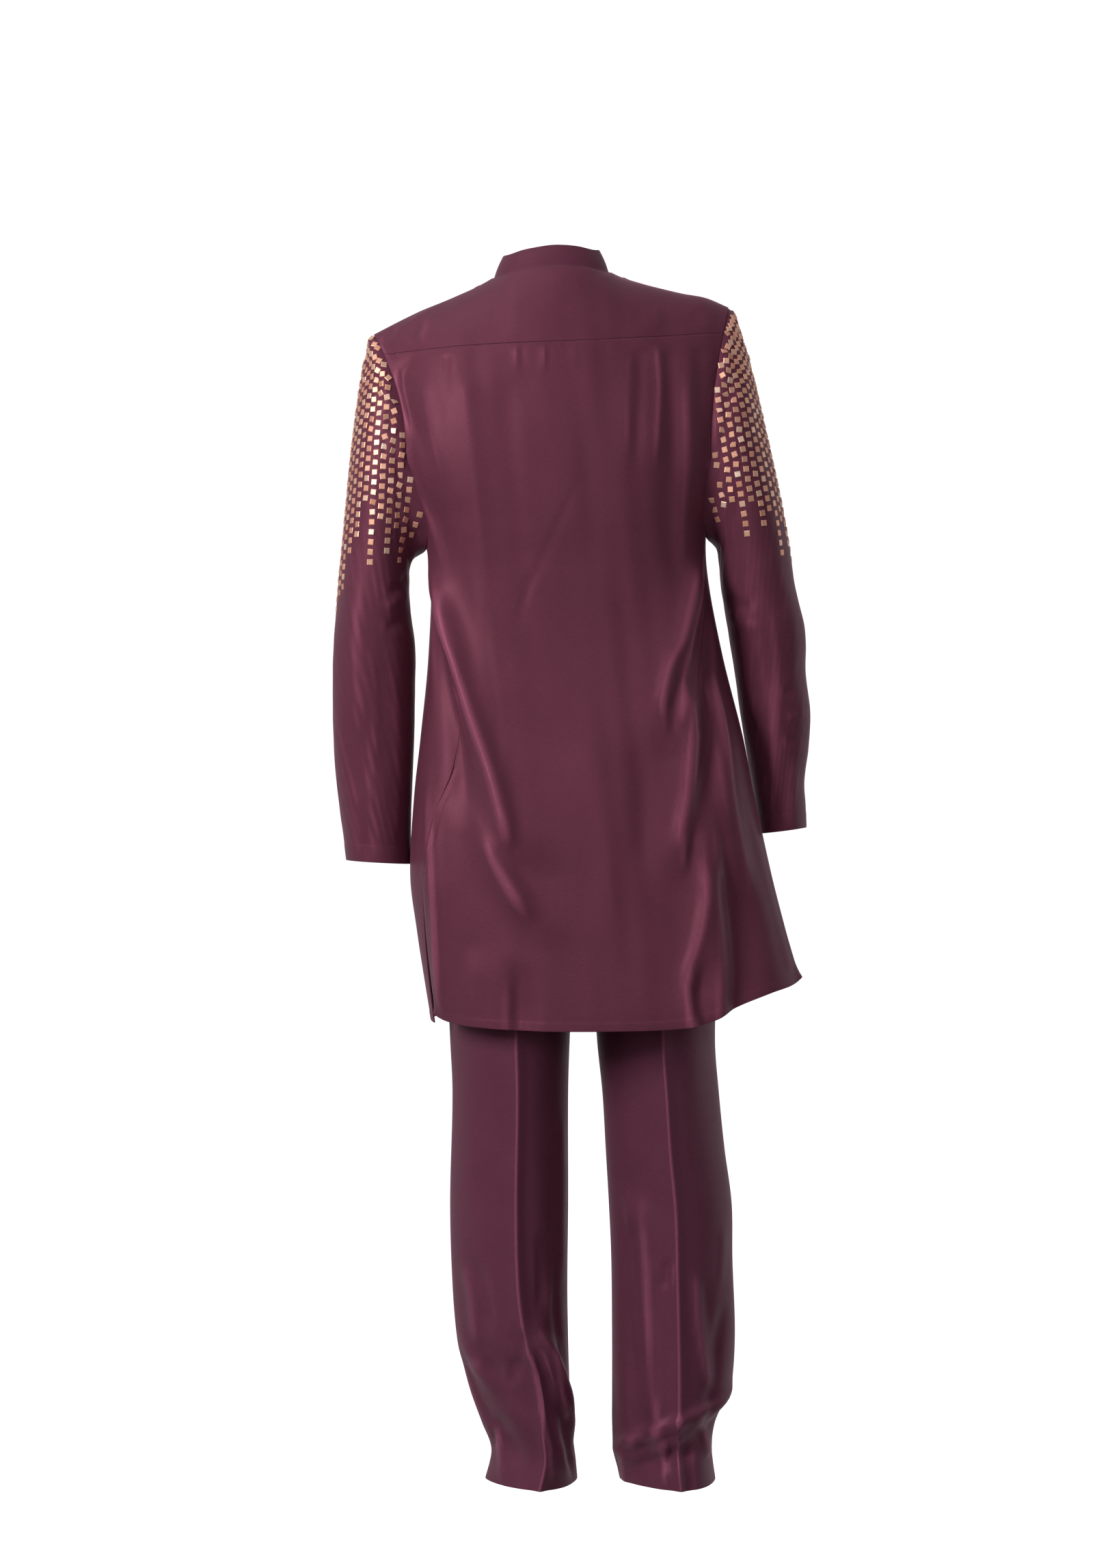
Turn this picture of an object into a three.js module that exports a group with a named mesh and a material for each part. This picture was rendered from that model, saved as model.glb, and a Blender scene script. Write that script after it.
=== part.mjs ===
import * as THREE from 'three';

// Kurta and straight trousers as worn, hollow, in millimetres. +Z is up, the back faces -Y and
// +X is the wearer's right. The origin is the middle of the neck at the level of the collar seam.
// A turn goes round the body in degrees: 0 is +X, 90 the front, 180 is -X, 270 the back.

// Cloth and seams
const WALL = 1.6;
const SEAM = 0.45;
const SIDE_SEAM = 0.6;
const ARMPIT_SEAM = 1.9;
const COLLAR_WALL = 2.2;
const WAISTBAND_WALL = 2.6;
const PLACKET_WALL = 1.8;

// Levels of the kurta
const BLADE_Z = -235;
const STRAIGHT_Z = -400;
const DEEPEST_HEM_Z = -942;
const ARMPIT_LEFT_Z = -345;
const ARMPIT_RIGHT_Z = -330;

// Shoulders and neck
const CREST_Y = -2;
const SHOULDER_LEFT_X = -220;
const SHOULDER_RIGHT_X = 226;
const SHOULDER_ROUND = 2.2;
const FRONT_SEAM_TURN = 76;
const NECK_HALF_WIDTH = 76;
const NECK_BACK_DEPTH = 62;
const NECK_FRONT_DEPTH = 66;
const NECK_ROUND = 2.5;
const NECK_CORNER = 0.012;
const CREST_EASE = 2.2;

// How far an armhole opens to the back and to the front of its seam, in degrees of turn
const ARMHOLE = {
  left: { armpit: ARMPIT_LEFT_Z, back: 22, front: 33 },
  right: { armpit: ARMPIT_RIGHT_Z, back: 25, front: 28 },
};

// Sections of the kurta: x of the two sides, y of the middle of the back and of the front
const BODY_MIDDLE_Y = -10;
const BODY_SQUARE = 0.12;
const CHEST_DRAWN_IN = 14;
const WAIST_LEVEL_Z = -480;
const BODY_SECTIONS = [
  { z: -950, left: -147, right: 334, back: -150, front: 114 },
  { z: -892, left: -156, right: 320, back: -147, front: 112 },
  { z: -823, left: -166, right: 300, back: -142, front: 110 },
  { z: -754, left: -174, right: 281, back: -137, front: 108 },
  { z: -655, left: -169, right: 258, back: -128, front: 106 },
  { z: -582, left: -161, right: 244, back: -119, front: 106 },
  { z: -478, left: -151, right: 218, back: -111, front: 108 },
  { z: -375, left: -149, right: 199, back: -113, front: 112 },
  { z: -315, left: -161, right: 198, back: -118, front: 114 },
  { z: -275, left: -181, right: 208, back: -120, front: 114 },
  { z: -235, left: -198, right: 219, back: -121, front: 113 },
];

// Where the two side seams run round the body
const SIDE_SEAMS = [
  { z: -942, left: 195, right: 345 },
  { z: -884, left: 198, right: 346 },
  { z: -800, left: 204, right: 347 },
  { z: -716, left: 212, right: 348 },
  { z: -670, left: 216, right: 349 },
  { z: -618, left: 222, right: 350 },
  { z: -492, left: 221, right: 353 },
  { z: -400, left: 197, right: 356 },
  { z: -345, left: 186, right: 358 },
];

// Side slits: the seams are open below the slit's top, and the front panel lies a little inside
const SLIT_TOP_Z = -655;
const SLIT_PARTING = 3.2;
const SLIT_INSET = 7;
const SLIT_INSET_WIDE = 30;

// Hems, from the left edge of a panel (0) to its right edge (1)
const BACK_HEM = [
  { across: 0, z: -927 },
  { across: 0.08, z: -934 },
  { across: 0.2, z: -939 },
  { across: 0.35, z: -942 },
  { across: 0.5, z: -941 },
  { across: 0.6, z: -938 },
  { across: 0.66, z: -930 },
  { across: 0.72, z: -915 },
  { across: 0.82, z: -898 },
  { across: 0.92, z: -890 },
  { across: 1, z: -884 },
];
const FRONT_HEM = [
  { across: 0, z: -938 },
  { across: 0.35, z: -926 },
  { across: 0.7, z: -892 },
  { across: 1, z: -868 },
];

// Yoke seam of the back and the line of the shoulders, from left to right
const YOKE_SEAM = [
  { across: 0, z: -103 },
  { across: 0.3, z: -98 },
  { across: 0.6, z: -93 },
  { across: 1, z: -77 },
];
const SHOULDER_CREST = [
  { x: -220, back: -74, front: -74 },
  { x: -166, back: -47, front: -47 },
  { x: -115, back: -26, front: -26 },
  { x: -73, back: -5, front: -8 },
  { x: -38, back: 23, front: -28 },
  { x: 2, back: 35, front: -38 },
  { x: 40, back: 29, front: -27 },
  { x: 79, back: 3, front: 0 },
  { x: 119, back: -11, front: -11 },
  { x: 165, back: -22, front: -22 },
  { x: 200, back: -29, front: -29 },
  { x: 226, back: -40, front: -40 },
];

// Folds of the kurta. Each runs down from its top to its foot, is steep on the side of lower
// turns and soft on the other by its two widths, and stands out by its rise (in, if negative).
const KURTA_FOLDS = [
  { fold: 'left drape', top: -335, topTurn: 187, mid: -500, midTurn: 222, foot: -760, footTurn: 252,
    low: 16, high: 46, rise: 11 },
  { fold: 'left drape hollow', top: -370, topTurn: 184, mid: -560, midTurn: 222, foot: -700, footTurn: 232,
    low: 24, high: 16, rise: -9 },
  { fold: 'left lower', top: -660, topTurn: 234, mid: -760, midTurn: 245, foot: -850, footTurn: 256,
    low: 18, high: 30, rise: 7 },
  { fold: 'left edge', top: -610, topTurn: 208, mid: -740, midTurn: 212, foot: -960, footTurn: 205,
    low: 16, high: 20, rise: 5 },
  { fold: 'left hem step', top: -850, topTurn: 247, mid: -900, midTurn: 244, foot: -990, footTurn: 240,
    low: 12, high: 12, rise: -7 },
  { fold: 'right drape', top: -345, topTurn: 343, mid: -470, midTurn: 314, foot: -620, footTurn: 295,
    low: 44, high: 16, rise: 11 },
  { fold: 'right drape hollow', top: -390, topTurn: 346, mid: -500, midTurn: 324, foot: -660, footTurn: 309,
    low: 14, high: 24, rise: -8 },
  { fold: 'right long', top: -500, topTurn: 316, mid: -650, midTurn: 303, foot: -780, footTurn: 292,
    low: 26, high: 14, rise: 7 },
  { fold: 'right outer', top: -480, topTurn: 330, mid: -640, midTurn: 324, foot: -800, footTurn: 321,
    low: 22, high: 18, rise: 7 },
  { fold: 'right lower', top: -650, topTurn: 312, mid: -800, midTurn: 304, foot: -985, footTurn: 292,
    low: 30, high: 14, rise: 10 },
  { fold: 'right lower hollow', top: -720, topTurn: 315, mid: -840, midTurn: 310, foot: -985, footTurn: 299,
    low: 13, high: 26, rise: -9 },
  { fold: 'left blade', top: -110, topTurn: 246, mid: -345, midTurn: 232, foot: -590, footTurn: 248,
    low: 22, high: 26, rise: 3.5 },
  { fold: 'left arm hollow', top: -100, topTurn: 226, mid: -250, midTurn: 212, foot: -400, footTurn: 217,
    low: 16, high: 24, rise: -4.5 },
  { fold: 'right blade hollow', top: -100, topTurn: 306, mid: -260, midTurn: 311, foot: -420, footTurn: 318,
    low: 24, high: 20, rise: -4 },
  { fold: 'middle swell', top: -560, topTurn: 272, mid: -740, midTurn: 274, foot: -985, footTurn: 276,
    low: 36, high: 40, rise: 5 },
  { fold: 'front left', top: -300, topTurn: 138, mid: -520, midTurn: 128, foot: -985, footTurn: 124,
    low: 26, high: 18, rise: 8 },
  { fold: 'front left hollow', top: -340, topTurn: 150, mid: -560, midTurn: 146, foot: -985, footTurn: 142,
    low: 20, high: 20, rise: -7 },
  { fold: 'front middle', top: -420, topTurn: 97, mid: -640, midTurn: 101, foot: -985, footTurn: 104,
    low: 24, high: 30, rise: 5 },
  { fold: 'front right hollow', top: -360, topTurn: 68, mid: -620, midTurn: 72, foot: -985, footTurn: 74,
    low: 22, high: 22, rise: -5 },
  { fold: 'front right', top: -320, topTurn: 36, mid: -600, midTurn: 50, foot: -985, footTurn: 54,
    low: 18, high: 28, rise: 8 },
];
const FOLD_FADE = 70;
const MM_PER_DEGREE = 3.1;

// Rows of the kurta's panels
const PANEL_LEVELS = [-942, -903, -863, -823, -783, -743, -703, -663, -625, -588, -551, -514, -477,
  -442, -410, -378, -345, -330, -300, -268, -235];
const ARCH_ROWS = 4;
const YOKE_ROWS = 5;
const BACK_COLUMNS = 34;
const FRONT_COLUMNS = 26;
const PANEL_WIDTH = 420;
const SEAM_TURN = 0.09;

// How far a sleeve head stands from the armhole's edge, and the share across a panel over which
// the way out of the armhole is found
const SLEEVE_SET = 0.55;
const BESIDE = 0.01;

// Sleeves: places of the outer and the inner edge as seen from behind, the middle and the half
// depth across them, and how much each ring still follows the armhole.
const SLEEVES = {
  left: [
    { outerX: -234, outerZ: -98, innerX: -166, innerZ: -349, midY: -6, depth: 64, follow: 0.6 },
    { outerX: -244, outerZ: -162, innerX: -170, innerZ: -353, midY: -5, depth: 68, follow: 0.3 },
    { outerX: -251, outerZ: -232, innerX: -173, innerZ: -358, midY: -5, depth: 67, follow: 0.1 },
    { outerX: -256, outerZ: -301, innerX: -175, innerZ: -366, midY: -5, depth: 65, follow: 0 },
    { outerX: -262, outerZ: -362, innerX: -175, innerZ: -382, midY: -6, depth: 62, follow: 0 },
    { outerX: -267, outerZ: -418, innerX: -173, innerZ: -422, midY: -6, depth: 60, follow: 0 },
    { outerX: -271, outerZ: -470, innerX: -169, innerZ: -470, midY: -4, depth: 58, follow: 0 },
    { outerX: -272, outerZ: -520, innerX: -169, innerZ: -520, midY: -1, depth: 57, follow: 0 },
    { outerX: -272, outerZ: -570, innerX: -170, innerZ: -570, midY: 3, depth: 56, follow: 0 },
    { outerX: -270, outerZ: -620, innerX: -172, innerZ: -620, midY: 8, depth: 55, follow: 0 },
    { outerX: -265, outerZ: -665, innerX: -174, innerZ: -667, midY: 12, depth: 54, follow: 0 },
    { outerX: -260, outerZ: -702, innerX: -175, innerZ: -705, midY: 15, depth: 53, follow: 0 },
    { outerX: -256, outerZ: -736, innerX: -174, innerZ: -741, midY: 18, depth: 52, follow: 0 },
  ],
  right: [
    { outerX: 246, outerZ: -74, innerX: 209, innerZ: -334, midY: -4, depth: 64, follow: 0.6 },
    { outerX: 262, outerZ: -130, innerX: 212, innerZ: -339, midY: -3, depth: 68, follow: 0.3 },
    { outerX: 276, outerZ: -202, innerX: 214, innerZ: -345, midY: -1, depth: 67, follow: 0.1 },
    { outerX: 290, outerZ: -271, innerX: 215, innerZ: -354, midY: 1, depth: 65, follow: 0 },
    { outerX: 302, outerZ: -334, innerX: 216, innerZ: -372, midY: 4, depth: 62, follow: 0 },
    { outerX: 311, outerZ: -392, innerX: 219, innerZ: -400, midY: 8, depth: 60, follow: 0 },
    { outerX: 320, outerZ: -446, innerX: 227, innerZ: -448, midY: 13, depth: 58, follow: 0 },
    { outerX: 325, outerZ: -500, innerX: 236, innerZ: -500, midY: 18, depth: 55, follow: 0 },
    { outerX: 327, outerZ: -550, innerX: 243, innerZ: -550, midY: 23, depth: 52, follow: 0 },
    { outerX: 328, outerZ: -596, innerX: 251, innerZ: -597, midY: 28, depth: 50, follow: 0 },
    { outerX: 327, outerZ: -636, innerX: 258, innerZ: -639, midY: 32, depth: 48, follow: 0 },
    { outerX: 326, outerZ: -668, innerX: 263, innerZ: -674, midY: 35, depth: 47, follow: 0 },
    { outerX: 327, outerZ: -695, innerX: 267, innerZ: -703, midY: 37, depth: 46, follow: 0 },
  ],
};

// Folds across a sleeve: place round it (0 outer, 90 back, 180 inner, 270 front) and height
const SLEEVE_FOLDS = {
  left: [
    { fold: 'elbow upper', turn: 160, z: -400, around: 60, along: 16, rise: -5 },
    { fold: 'elbow lower', turn: 150, z: -445, around: 60, along: 18, rise: 4 },
    { fold: 'fore arm', turn: 60, z: -600, around: 40, along: 60, rise: -4 },
    { fold: 'inner elbow', turn: 250, z: -430, around: 60, along: 20, rise: -6 },
  ],
  right: [
    { fold: 'outer bulge 1', turn: 10, z: -455, around: 70, along: 26, rise: 4 },
    { fold: 'outer dip 1', turn: 10, z: -520, around: 70, along: 12, rise: -4 },
    { fold: 'outer bulge 2', turn: 10, z: -552, around: 70, along: 15, rise: 4 },
    { fold: 'outer dip 2', turn: 10, z: -581, around: 70, along: 10, rise: -4 },
    { fold: 'outer bulge 3', turn: 10, z: -611, around: 70, along: 14, rise: 4 },
    { fold: 'outer dip 3', turn: 10, z: -638, around: 70, along: 10, rise: -3 },
    { fold: 'inner elbow', turn: 180, z: -425, around: 70, along: 14, rise: -5 },
  ],
};

// Trousers
const WAIST_Z = -560;
const WAISTBAND_TOP_Z = -524;
const HIP_END_Z = -690;
const LEG_START_Z = -790;
const HIP_MIDDLE_X = 43;
const LEG_MIDDLE_Y = -4;
const HIP_SECTIONS = [
  { z: -800, half: 176, back: -108, front: 92 },
  { z: -700, half: 177, back: -110, front: 90 },
  { z: -640, half: 170, back: -104, front: 88 },
  { z: -560, half: 153, back: -88, front: 84 },
  { z: -520, half: 150, back: -84, front: 83 },
];
const LEGS = {
  left: [
    { z: -1520, outer: -81, inner: 36, back: -84, front: 84, crease: 10 },
    { z: -1478, outer: -72, inner: 32, back: -82, front: 82, crease: 16 },
    { z: -1444, outer: -84, inner: 27, back: -84, front: 79, crease: 22 },
    { z: -1409, outer: -97, inner: 26, back: -86, front: 77, crease: 30 },
    { z: -1375, outer: -107, inner: 25, back: -88, front: 76, crease: 30 },
    { z: -1340, outer: -115, inner: 24, back: -88, front: 76, crease: 20 },
    { z: -1271, outer: -121, inner: 23, back: -88, front: 77, crease: 12 },
    { z: -1168, outer: -124, inner: 24, back: -88, front: 80, crease: 10 },
    { z: -1030, outer: -121, inner: 24, back: -90, front: 84, crease: 10 },
    { z: -961, outer: -124, inner: 26, back: -92, front: 86, crease: 9 },
    { z: -850, outer: -129, inner: 31, back: -98, front: 88, crease: 6 },
    { z: -690, outer: -134, inner: 39, back: -106, front: 90, crease: 0 },
  ],
  right: [
    { z: -1520, outer: 210, inner: 91, back: -86, front: 84, crease: 14 },
    { z: -1478, outer: 205, inner: 82, back: -83, front: 82, crease: 17 },
    { z: -1444, outer: 209, inner: 80, back: -86, front: 79, crease: 16 },
    { z: -1409, outer: 227, inner: 80, back: -90, front: 77, crease: 8 },
    { z: -1340, outer: 234, inner: 80, back: -89, front: 76, crease: 4 },
    { z: -1237, outer: 231, inner: 79, back: -88, front: 77, crease: 4 },
    { z: -1168, outer: 230, inner: 76, back: -88, front: 80, crease: 4 },
    { z: -1099, outer: 221, inner: 72, back: -89, front: 82, crease: 4 },
    { z: -1030, outer: 214, inner: 68, back: -90, front: 84, crease: 5 },
    { z: -961, outer: 209, inner: 61, back: -92, front: 86, crease: 6 },
    { z: -850, outer: 213, inner: 55, back: -98, front: 88, crease: 4 },
    { z: -690, outer: 220, inner: 47, back: -106, front: 90, crease: 0 },
  ],
};
const LEG_FOLDS = {
  left: [
    { fold: 'break ridge', top: -1315, topTurn: 284, foot: -1455, footTurn: 345, wide: 13, rise: 8 },
    { fold: 'break hollow', top: -1360, topTurn: 276, foot: -1500, footTurn: 330, wide: 15, rise: -7 },
    { fold: 'inner long', top: -1200, topTurn: 306, foot: -1390, footTurn: 318, wide: 12, rise: -4 },
    { fold: 'outer break', top: -1370, topTurn: 196, foot: -1480, footTurn: 232, wide: 16, rise: -7 },
    { fold: 'outer ridge', top: -1330, topTurn: 206, foot: -1440, footTurn: 248, wide: 14, rise: 5 },
    { fold: 'front break', top: -1400, topTurn: 60, foot: -1470, footTurn: 120, wide: 16, rise: -8 },
  ],
  right: [
    { fold: 'inner long ridge', top: -1160, topTurn: 238, foot: -1470, footTurn: 250, wide: 13, rise: 5 },
    { fold: 'inner long hollow', top: -1190, topTurn: 226, foot: -1480, footTurn: 238, wide: 13, rise: -5 },
    { fold: 'break ridge', top: -1400, topTurn: 338, foot: -1478, footTurn: 205, wide: 13, rise: 7 },
    { fold: 'break hollow', top: -1428, topTurn: 338, foot: -1500, footTurn: 215, wide: 13, rise: -8 },
    { fold: 'outer hollow', top: -1300, topTurn: 318, foot: -1440, footTurn: 300, wide: 12, rise: -5 },
    { fold: 'front break', top: -1400, topTurn: 60, foot: -1470, footTurn: 120, wide: 16, rise: -8 },
  ],
};
const CREASE_RISE = 5;
const CREASE_WIDE = 9;
const CREASE_START = 120;
const LEG_MM_PER_DEGREE = 1.35;
const LEG_SEAM_SHARE = 0.0012;
const LEG_BEND = 1.7;
const LEG_ROUND = 0.62;
const FRONT_CREASE_SHIFT = 0.3;
const LEG_FADE = 40;
const LEG_COLUMNS = 8;
const WAISTBAND_COLUMNS = 32;
const LEG_LEVELS = [-560, -605, -650, -690, -715, -740, -765, -790, -850, -910, -975, -1040, -1105,
  -1170, -1235, -1290, -1330, -1362, -1392, -1420, -1446, -1470, -1493, -1514];

// Front opening
const PLACKET_HALF = 16;
const PLACKET_FOOT_Z = -330;
const PLACKET_CLEAR = 0.8;
const BUTTON_RADIUS = 5.8;
const BUTTON_THICK = 2.4;
const BUTTON_COUNT = 4;
const BUTTON_LOWEST = 0.12;
const BUTTON_HIGHEST = 0.95;
const BUTTON_TAPER = 0.92;
const COLLAR_HEIGHT = 34;
const COLLAR_LEAN_IN = 0.4;
const COLLAR_LEAN_FORWARD = 0.16;
const COLLAR_OPEN = 0.018;
const COLLAR_CLEAR = 2;
const COLLAR_SET_IN = 2.2;
const COLLAR_BOW = 1.2;
const COLLAR_COLUMNS = 32;

const lerp = THREE.MathUtils.lerp;
const radians = THREE.MathUtils.degToRad;

// Smooth step from 0 at one value to 1 at another, which may be the lower of the two
function ease(from, to, value) {
  const share = THREE.MathUtils.clamp((value - from) / (to - from), 0, 1);
  return share * share * (3 - 2 * share);
}

// Smooth curve through one column of a table, level beyond its first and last rows
function read(table, key, place, column) {
  const last = table.length - 1;
  if (place <= table[0][key]) return table[0][column];
  if (place >= table[last][key]) return table[last][column];
  let row = 0;
  while (place > table[row + 1][key]) row += 1;
  const slope = (n) => {
    const before = table[Math.max(n - 1, 0)];
    const after = table[Math.min(n + 1, last)];
    return (after[column] - before[column]) / (after[key] - before[key]);
  };
  const span = table[row + 1][key] - table[row][key];
  const u = (place - table[row][key]) / span;
  const rise = u * u * (3 - 2 * u);
  const leave = u * (1 - u) * (1 - u) * slope(row) * span;
  const arrive = u * u * (1 - u) * slope(row + 1) * span;
  return lerp(table[row][column], table[row + 1][column], rise) + leave - arrive;
}

// Degrees from one turn to another, the short way round
function apart(turn, other) {
  return ((turn - other + 900) % 360) - 180;
}

// Height of a soft ridge: 1 on its line, falling off by the width on each side
function ridge(distance, low, high) {
  const width = distance < 0 ? low : high;
  return Math.exp(-((distance / width) ** 2));
}

// Direction of a line of points at one of them, with both ends bent as the line is
function direction(line, n, round) {
  const last = line.length - 1;
  if (round) return line[(n + 1) % line.length].clone().sub(line[(n + last) % line.length]);
  if (n > 0 && n < last) return line[n + 1].clone().sub(line[n - 1]);
  const step = n === 0 ? 1 : -1;
  const end = line[n].clone().multiplyScalar(-3);
  end.addScaledVector(line[n + step], 4).addScaledVector(line[n + 2 * step], -1);
  return end.multiplyScalar(step);
}

// Closed wall of cloth over a grid of points, half its thickness to each side of them. The outer
// face looks along across x along; a wall that closes round joins its last column to its first.
function wall(grid, thick, { round = false, lift = 0 } = {}) {
  const columns = grid.length;
  const rows = grid[0].length;
  const vertices = [];
  const faces = [];
  for (const side of [lift + thick / 2, lift - thick / 2]) {
    for (let i = 0; i < columns; i += 1) {
      for (let j = 0; j < rows; j += 1) {
        const across = direction(grid.map((column) => column[j]), i, round);
        const normal = across.cross(direction(grid[i], j, false)).normalize();
        vertices.push(...grid[i][j].clone().addScaledVector(normal, side).toArray());
      }
    }
  }
  const outer = (i, j) => (i % columns) * rows + j;
  const inner = (i, j) => columns * rows + (i % columns) * rows + j;
  const quad = (a, b, c, d) => faces.push(a, b, c, a, c, d);
  const lastColumn = round ? columns : columns - 1;
  for (let i = 0; i < lastColumn; i += 1) {
    for (let j = 0; j < rows - 1; j += 1) {
      quad(outer(i, j), outer(i + 1, j), outer(i + 1, j + 1), outer(i, j + 1));
      quad(inner(i, j), inner(i, j + 1), inner(i + 1, j + 1), inner(i + 1, j));
    }
    quad(inner(i, 0), inner(i + 1, 0), outer(i + 1, 0), outer(i, 0));
    quad(inner(i + 1, rows - 1), inner(i, rows - 1), outer(i, rows - 1), outer(i + 1, rows - 1));
  }
  for (let j = 0; j < rows - 1 && !round; j += 1) {
    quad(outer(0, j), outer(0, j + 1), inner(0, j + 1), inner(0, j));
    quad(outer(lastColumn, j + 1), outer(lastColumn, j), inner(lastColumn, j), inner(lastColumn, j + 1));
  }
  const geometry = new THREE.BufferGeometry();
  geometry.setAttribute('position', new THREE.Float32BufferAttribute(vertices, 3));
  geometry.setIndex(faces);
  geometry.computeVertexNormals();
  return geometry;
}

// Kurta body: one surface that goes from the back hem over the shoulders to the front hem
function kurtaRise(turn, z) {
  let rise = 0;
  for (const fold of KURTA_FOLDS) {
    const path = [
      { z: fold.foot, turn: fold.footTurn },
      { z: fold.mid, turn: fold.midTurn },
      { z: fold.top, turn: fold.topTurn },
    ];
    const off = apart(turn, read(path, 'z', z, 'turn')) * MM_PER_DEGREE;
    const lasts = ease(fold.top, fold.top - FOLD_FADE, z) * ease(fold.foot, fold.foot + FOLD_FADE, z);
    rise += fold.rise * lasts * ridge(off, fold.low, fold.high);
  }
  return rise;
}

function bodyRing(turn, z) {
  const left = read(BODY_SECTIONS, 'z', z, 'left');
  const right = read(BODY_SECTIONS, 'z', z, 'right');
  const c = Math.cos(radians(turn));
  const s = Math.sin(radians(turn));
  const half = (right - left) / 2;
  const depth = read(BODY_SECTIONS, 'z', z, s < 0 ? 'back' : 'front') - BODY_MIDDLE_Y;
  const atWaist = ease(BLADE_Z, WAIST_LEVEL_Z, z);
  const drawnIn = CHEST_DRAWN_IN * ease(0, 0.5, s) * Math.max(c, 0) * atWaist;
  const x = (left + right) / 2 + half * c * (1 + BODY_SQUARE * s * s) - drawnIn;
  const y = BODY_MIDDLE_Y + depth * Math.abs(s) * (1 + BODY_SQUARE * c * c);
  const outward = new THREE.Vector3(c * Math.abs(depth), s * half, 0).normalize();
  return new THREE.Vector3(x, y, z).addScaledVector(outward, kurtaRise(turn, z));
}

// Turn of a panel's edge: the side seam, and above the armpit the armhole's edge
function edgeTurn(side, face, z) {
  const hole = ARMHOLE[side];
  const seam = read(SIDE_SEAMS, 'z', Math.min(z, hole.armpit), side);
  const up = Math.min(Math.max((BLADE_Z - z) / (BLADE_Z - hole.armpit), 0), 1);
  const open = hole[face] * Math.sqrt(1 - up * up);
  return seam + (face === 'back' ? open : -open) * (side === 'left' ? 1 : -1);
}

function backPoint(across, z) {
  return bodyRing(lerp(edgeTurn('left', 'back', z), edgeTurn('right', 'back', z), across), z);
}

function frontPoint(across, z) {
  return bodyRing(lerp(edgeTurn('left', 'front', z), edgeTurn('right', 'front', z) - 360, across), z);
}

// Over the shoulders: the turn goes from 180 at the shoulder blades by 90 at the crest to 0
function shoulderPoint(across, turn) {
  const back = turn >= 90;
  const foot = back ? backPoint(across, BLADE_Z) : frontPoint(across, BLADE_Z);
  const level = Math.abs(Math.cos(radians(turn)));
  const up = Math.abs(Math.sin(radians(turn)));
  const crestX = lerp(SHOULDER_LEFT_X, SHOULDER_RIGHT_X, across);
  const crestZ = read(SHOULDER_CREST, 'x', crestX, back ? 'back' : 'front');
  return new THREE.Vector3(
    crestX + (foot.x - crestX) * level ** CREST_EASE,
    CREST_Y + (foot.y - CREST_Y) * level ** (2 / SHOULDER_ROUND),
    BLADE_Z + (crestZ - BLADE_Z) * up ** (2 / SHOULDER_ROUND),
  );
}

// Turn at which a column of the back meets the yoke seam
function yokeSeamTurn(across) {
  const crestZ = read(SHOULDER_CREST, 'x', lerp(SHOULDER_LEFT_X, SHOULDER_RIGHT_X, across), 'back');
  const share = (read(YOKE_SEAM, 'across', across, 'z') - BLADE_Z) / (crestZ - BLADE_Z);
  return 180 - THREE.MathUtils.radToDeg(Math.asin(share ** (SHOULDER_ROUND / 2)));
}

// Turn at which a column meets the neckline, or the shoulder seam outside the neck
function topTurn(across, face) {
  const crestX = lerp(SHOULDER_LEFT_X, SHOULDER_RIGHT_X, across);
  const off = Math.abs(crestX - (SHOULDER_LEFT_X + SHOULDER_RIGHT_X) / 2) / NECK_HALF_WIDTH;
  if (off >= 1 - NECK_EDGE) return FRONT_SEAM_TURN;
  const deep = face === 'back' ? NECK_BACK_DEPTH : NECK_FRONT_DEPTH;
  const foot = face === 'back' ? backPoint(across, BLADE_Z) : frontPoint(across, BLADE_Z);
  const hole = deep * (1 - off ** NECK_ROUND) ** (1 / NECK_ROUND);
  const level = (hole / Math.abs(foot.y - CREST_Y)) ** (SHOULDER_ROUND / 2);
  const turn = THREE.MathUtils.radToDeg(Math.acos(level));
  return face === 'back' ? 180 - turn : Math.min(turn, FRONT_SEAM_TURN);
}

const NECK_SHARE = NECK_HALF_WIDTH / (SHOULDER_RIGHT_X - SHOULDER_LEFT_X);
const NECK_LEFT = 0.5 - NECK_SHARE;
const NECK_RIGHT = 0.5 + NECK_SHARE;
const NECK_EDGE = 1e-6;

// Columns from edge to edge, with one on each side of the two corners of the neck
function panelColumns(count) {
  const outside = Math.round(count * NECK_LEFT);
  const inside = count - 2 * outside - 2;
  const columns = [];
  for (let i = 0; i <= outside; i += 1) columns.push((NECK_LEFT * i) / outside);
  for (let i = 0; i <= inside; i += 1) {
    columns.push(lerp(NECK_LEFT + NECK_CORNER, NECK_RIGHT - NECK_CORNER, i / inside));
  }
  for (let i = 0; i <= outside; i += 1) columns.push(lerp(NECK_RIGHT, 1, i / outside));
  return columns;
}

function fallToHem(level, hemZ) {
  if (level >= STRAIGHT_Z) return level;
  return STRAIGHT_Z + ((level - STRAIGHT_Z) * (hemZ - STRAIGHT_Z)) / (DEEPEST_HEM_Z - STRAIGHT_Z);
}

// Share of a panel's width that leaves the seam's gap at its side edges
function seamInset(across) {
  return lerp(SIDE_SEAM / PANEL_WIDTH, 1 - SIDE_SEAM / PANEL_WIDTH, across);
}

function kurtaBack() {
  const grid = panelColumns(BACK_COLUMNS).map((across) => {
    const hemZ = read(BACK_HEM, 'across', across, 'z');
    const rows = PANEL_LEVELS.map((level) => backPoint(seamInset(across), fallToHem(level, hemZ)));
    for (let k = 1; k <= ARCH_ROWS; k += 1) {
      rows.push(shoulderPoint(across, lerp(180, yokeSeamTurn(across) + SEAM_TURN, k / ARCH_ROWS)));
    }
    return rows;
  });
  return wall(grid, WALL);
}

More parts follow.
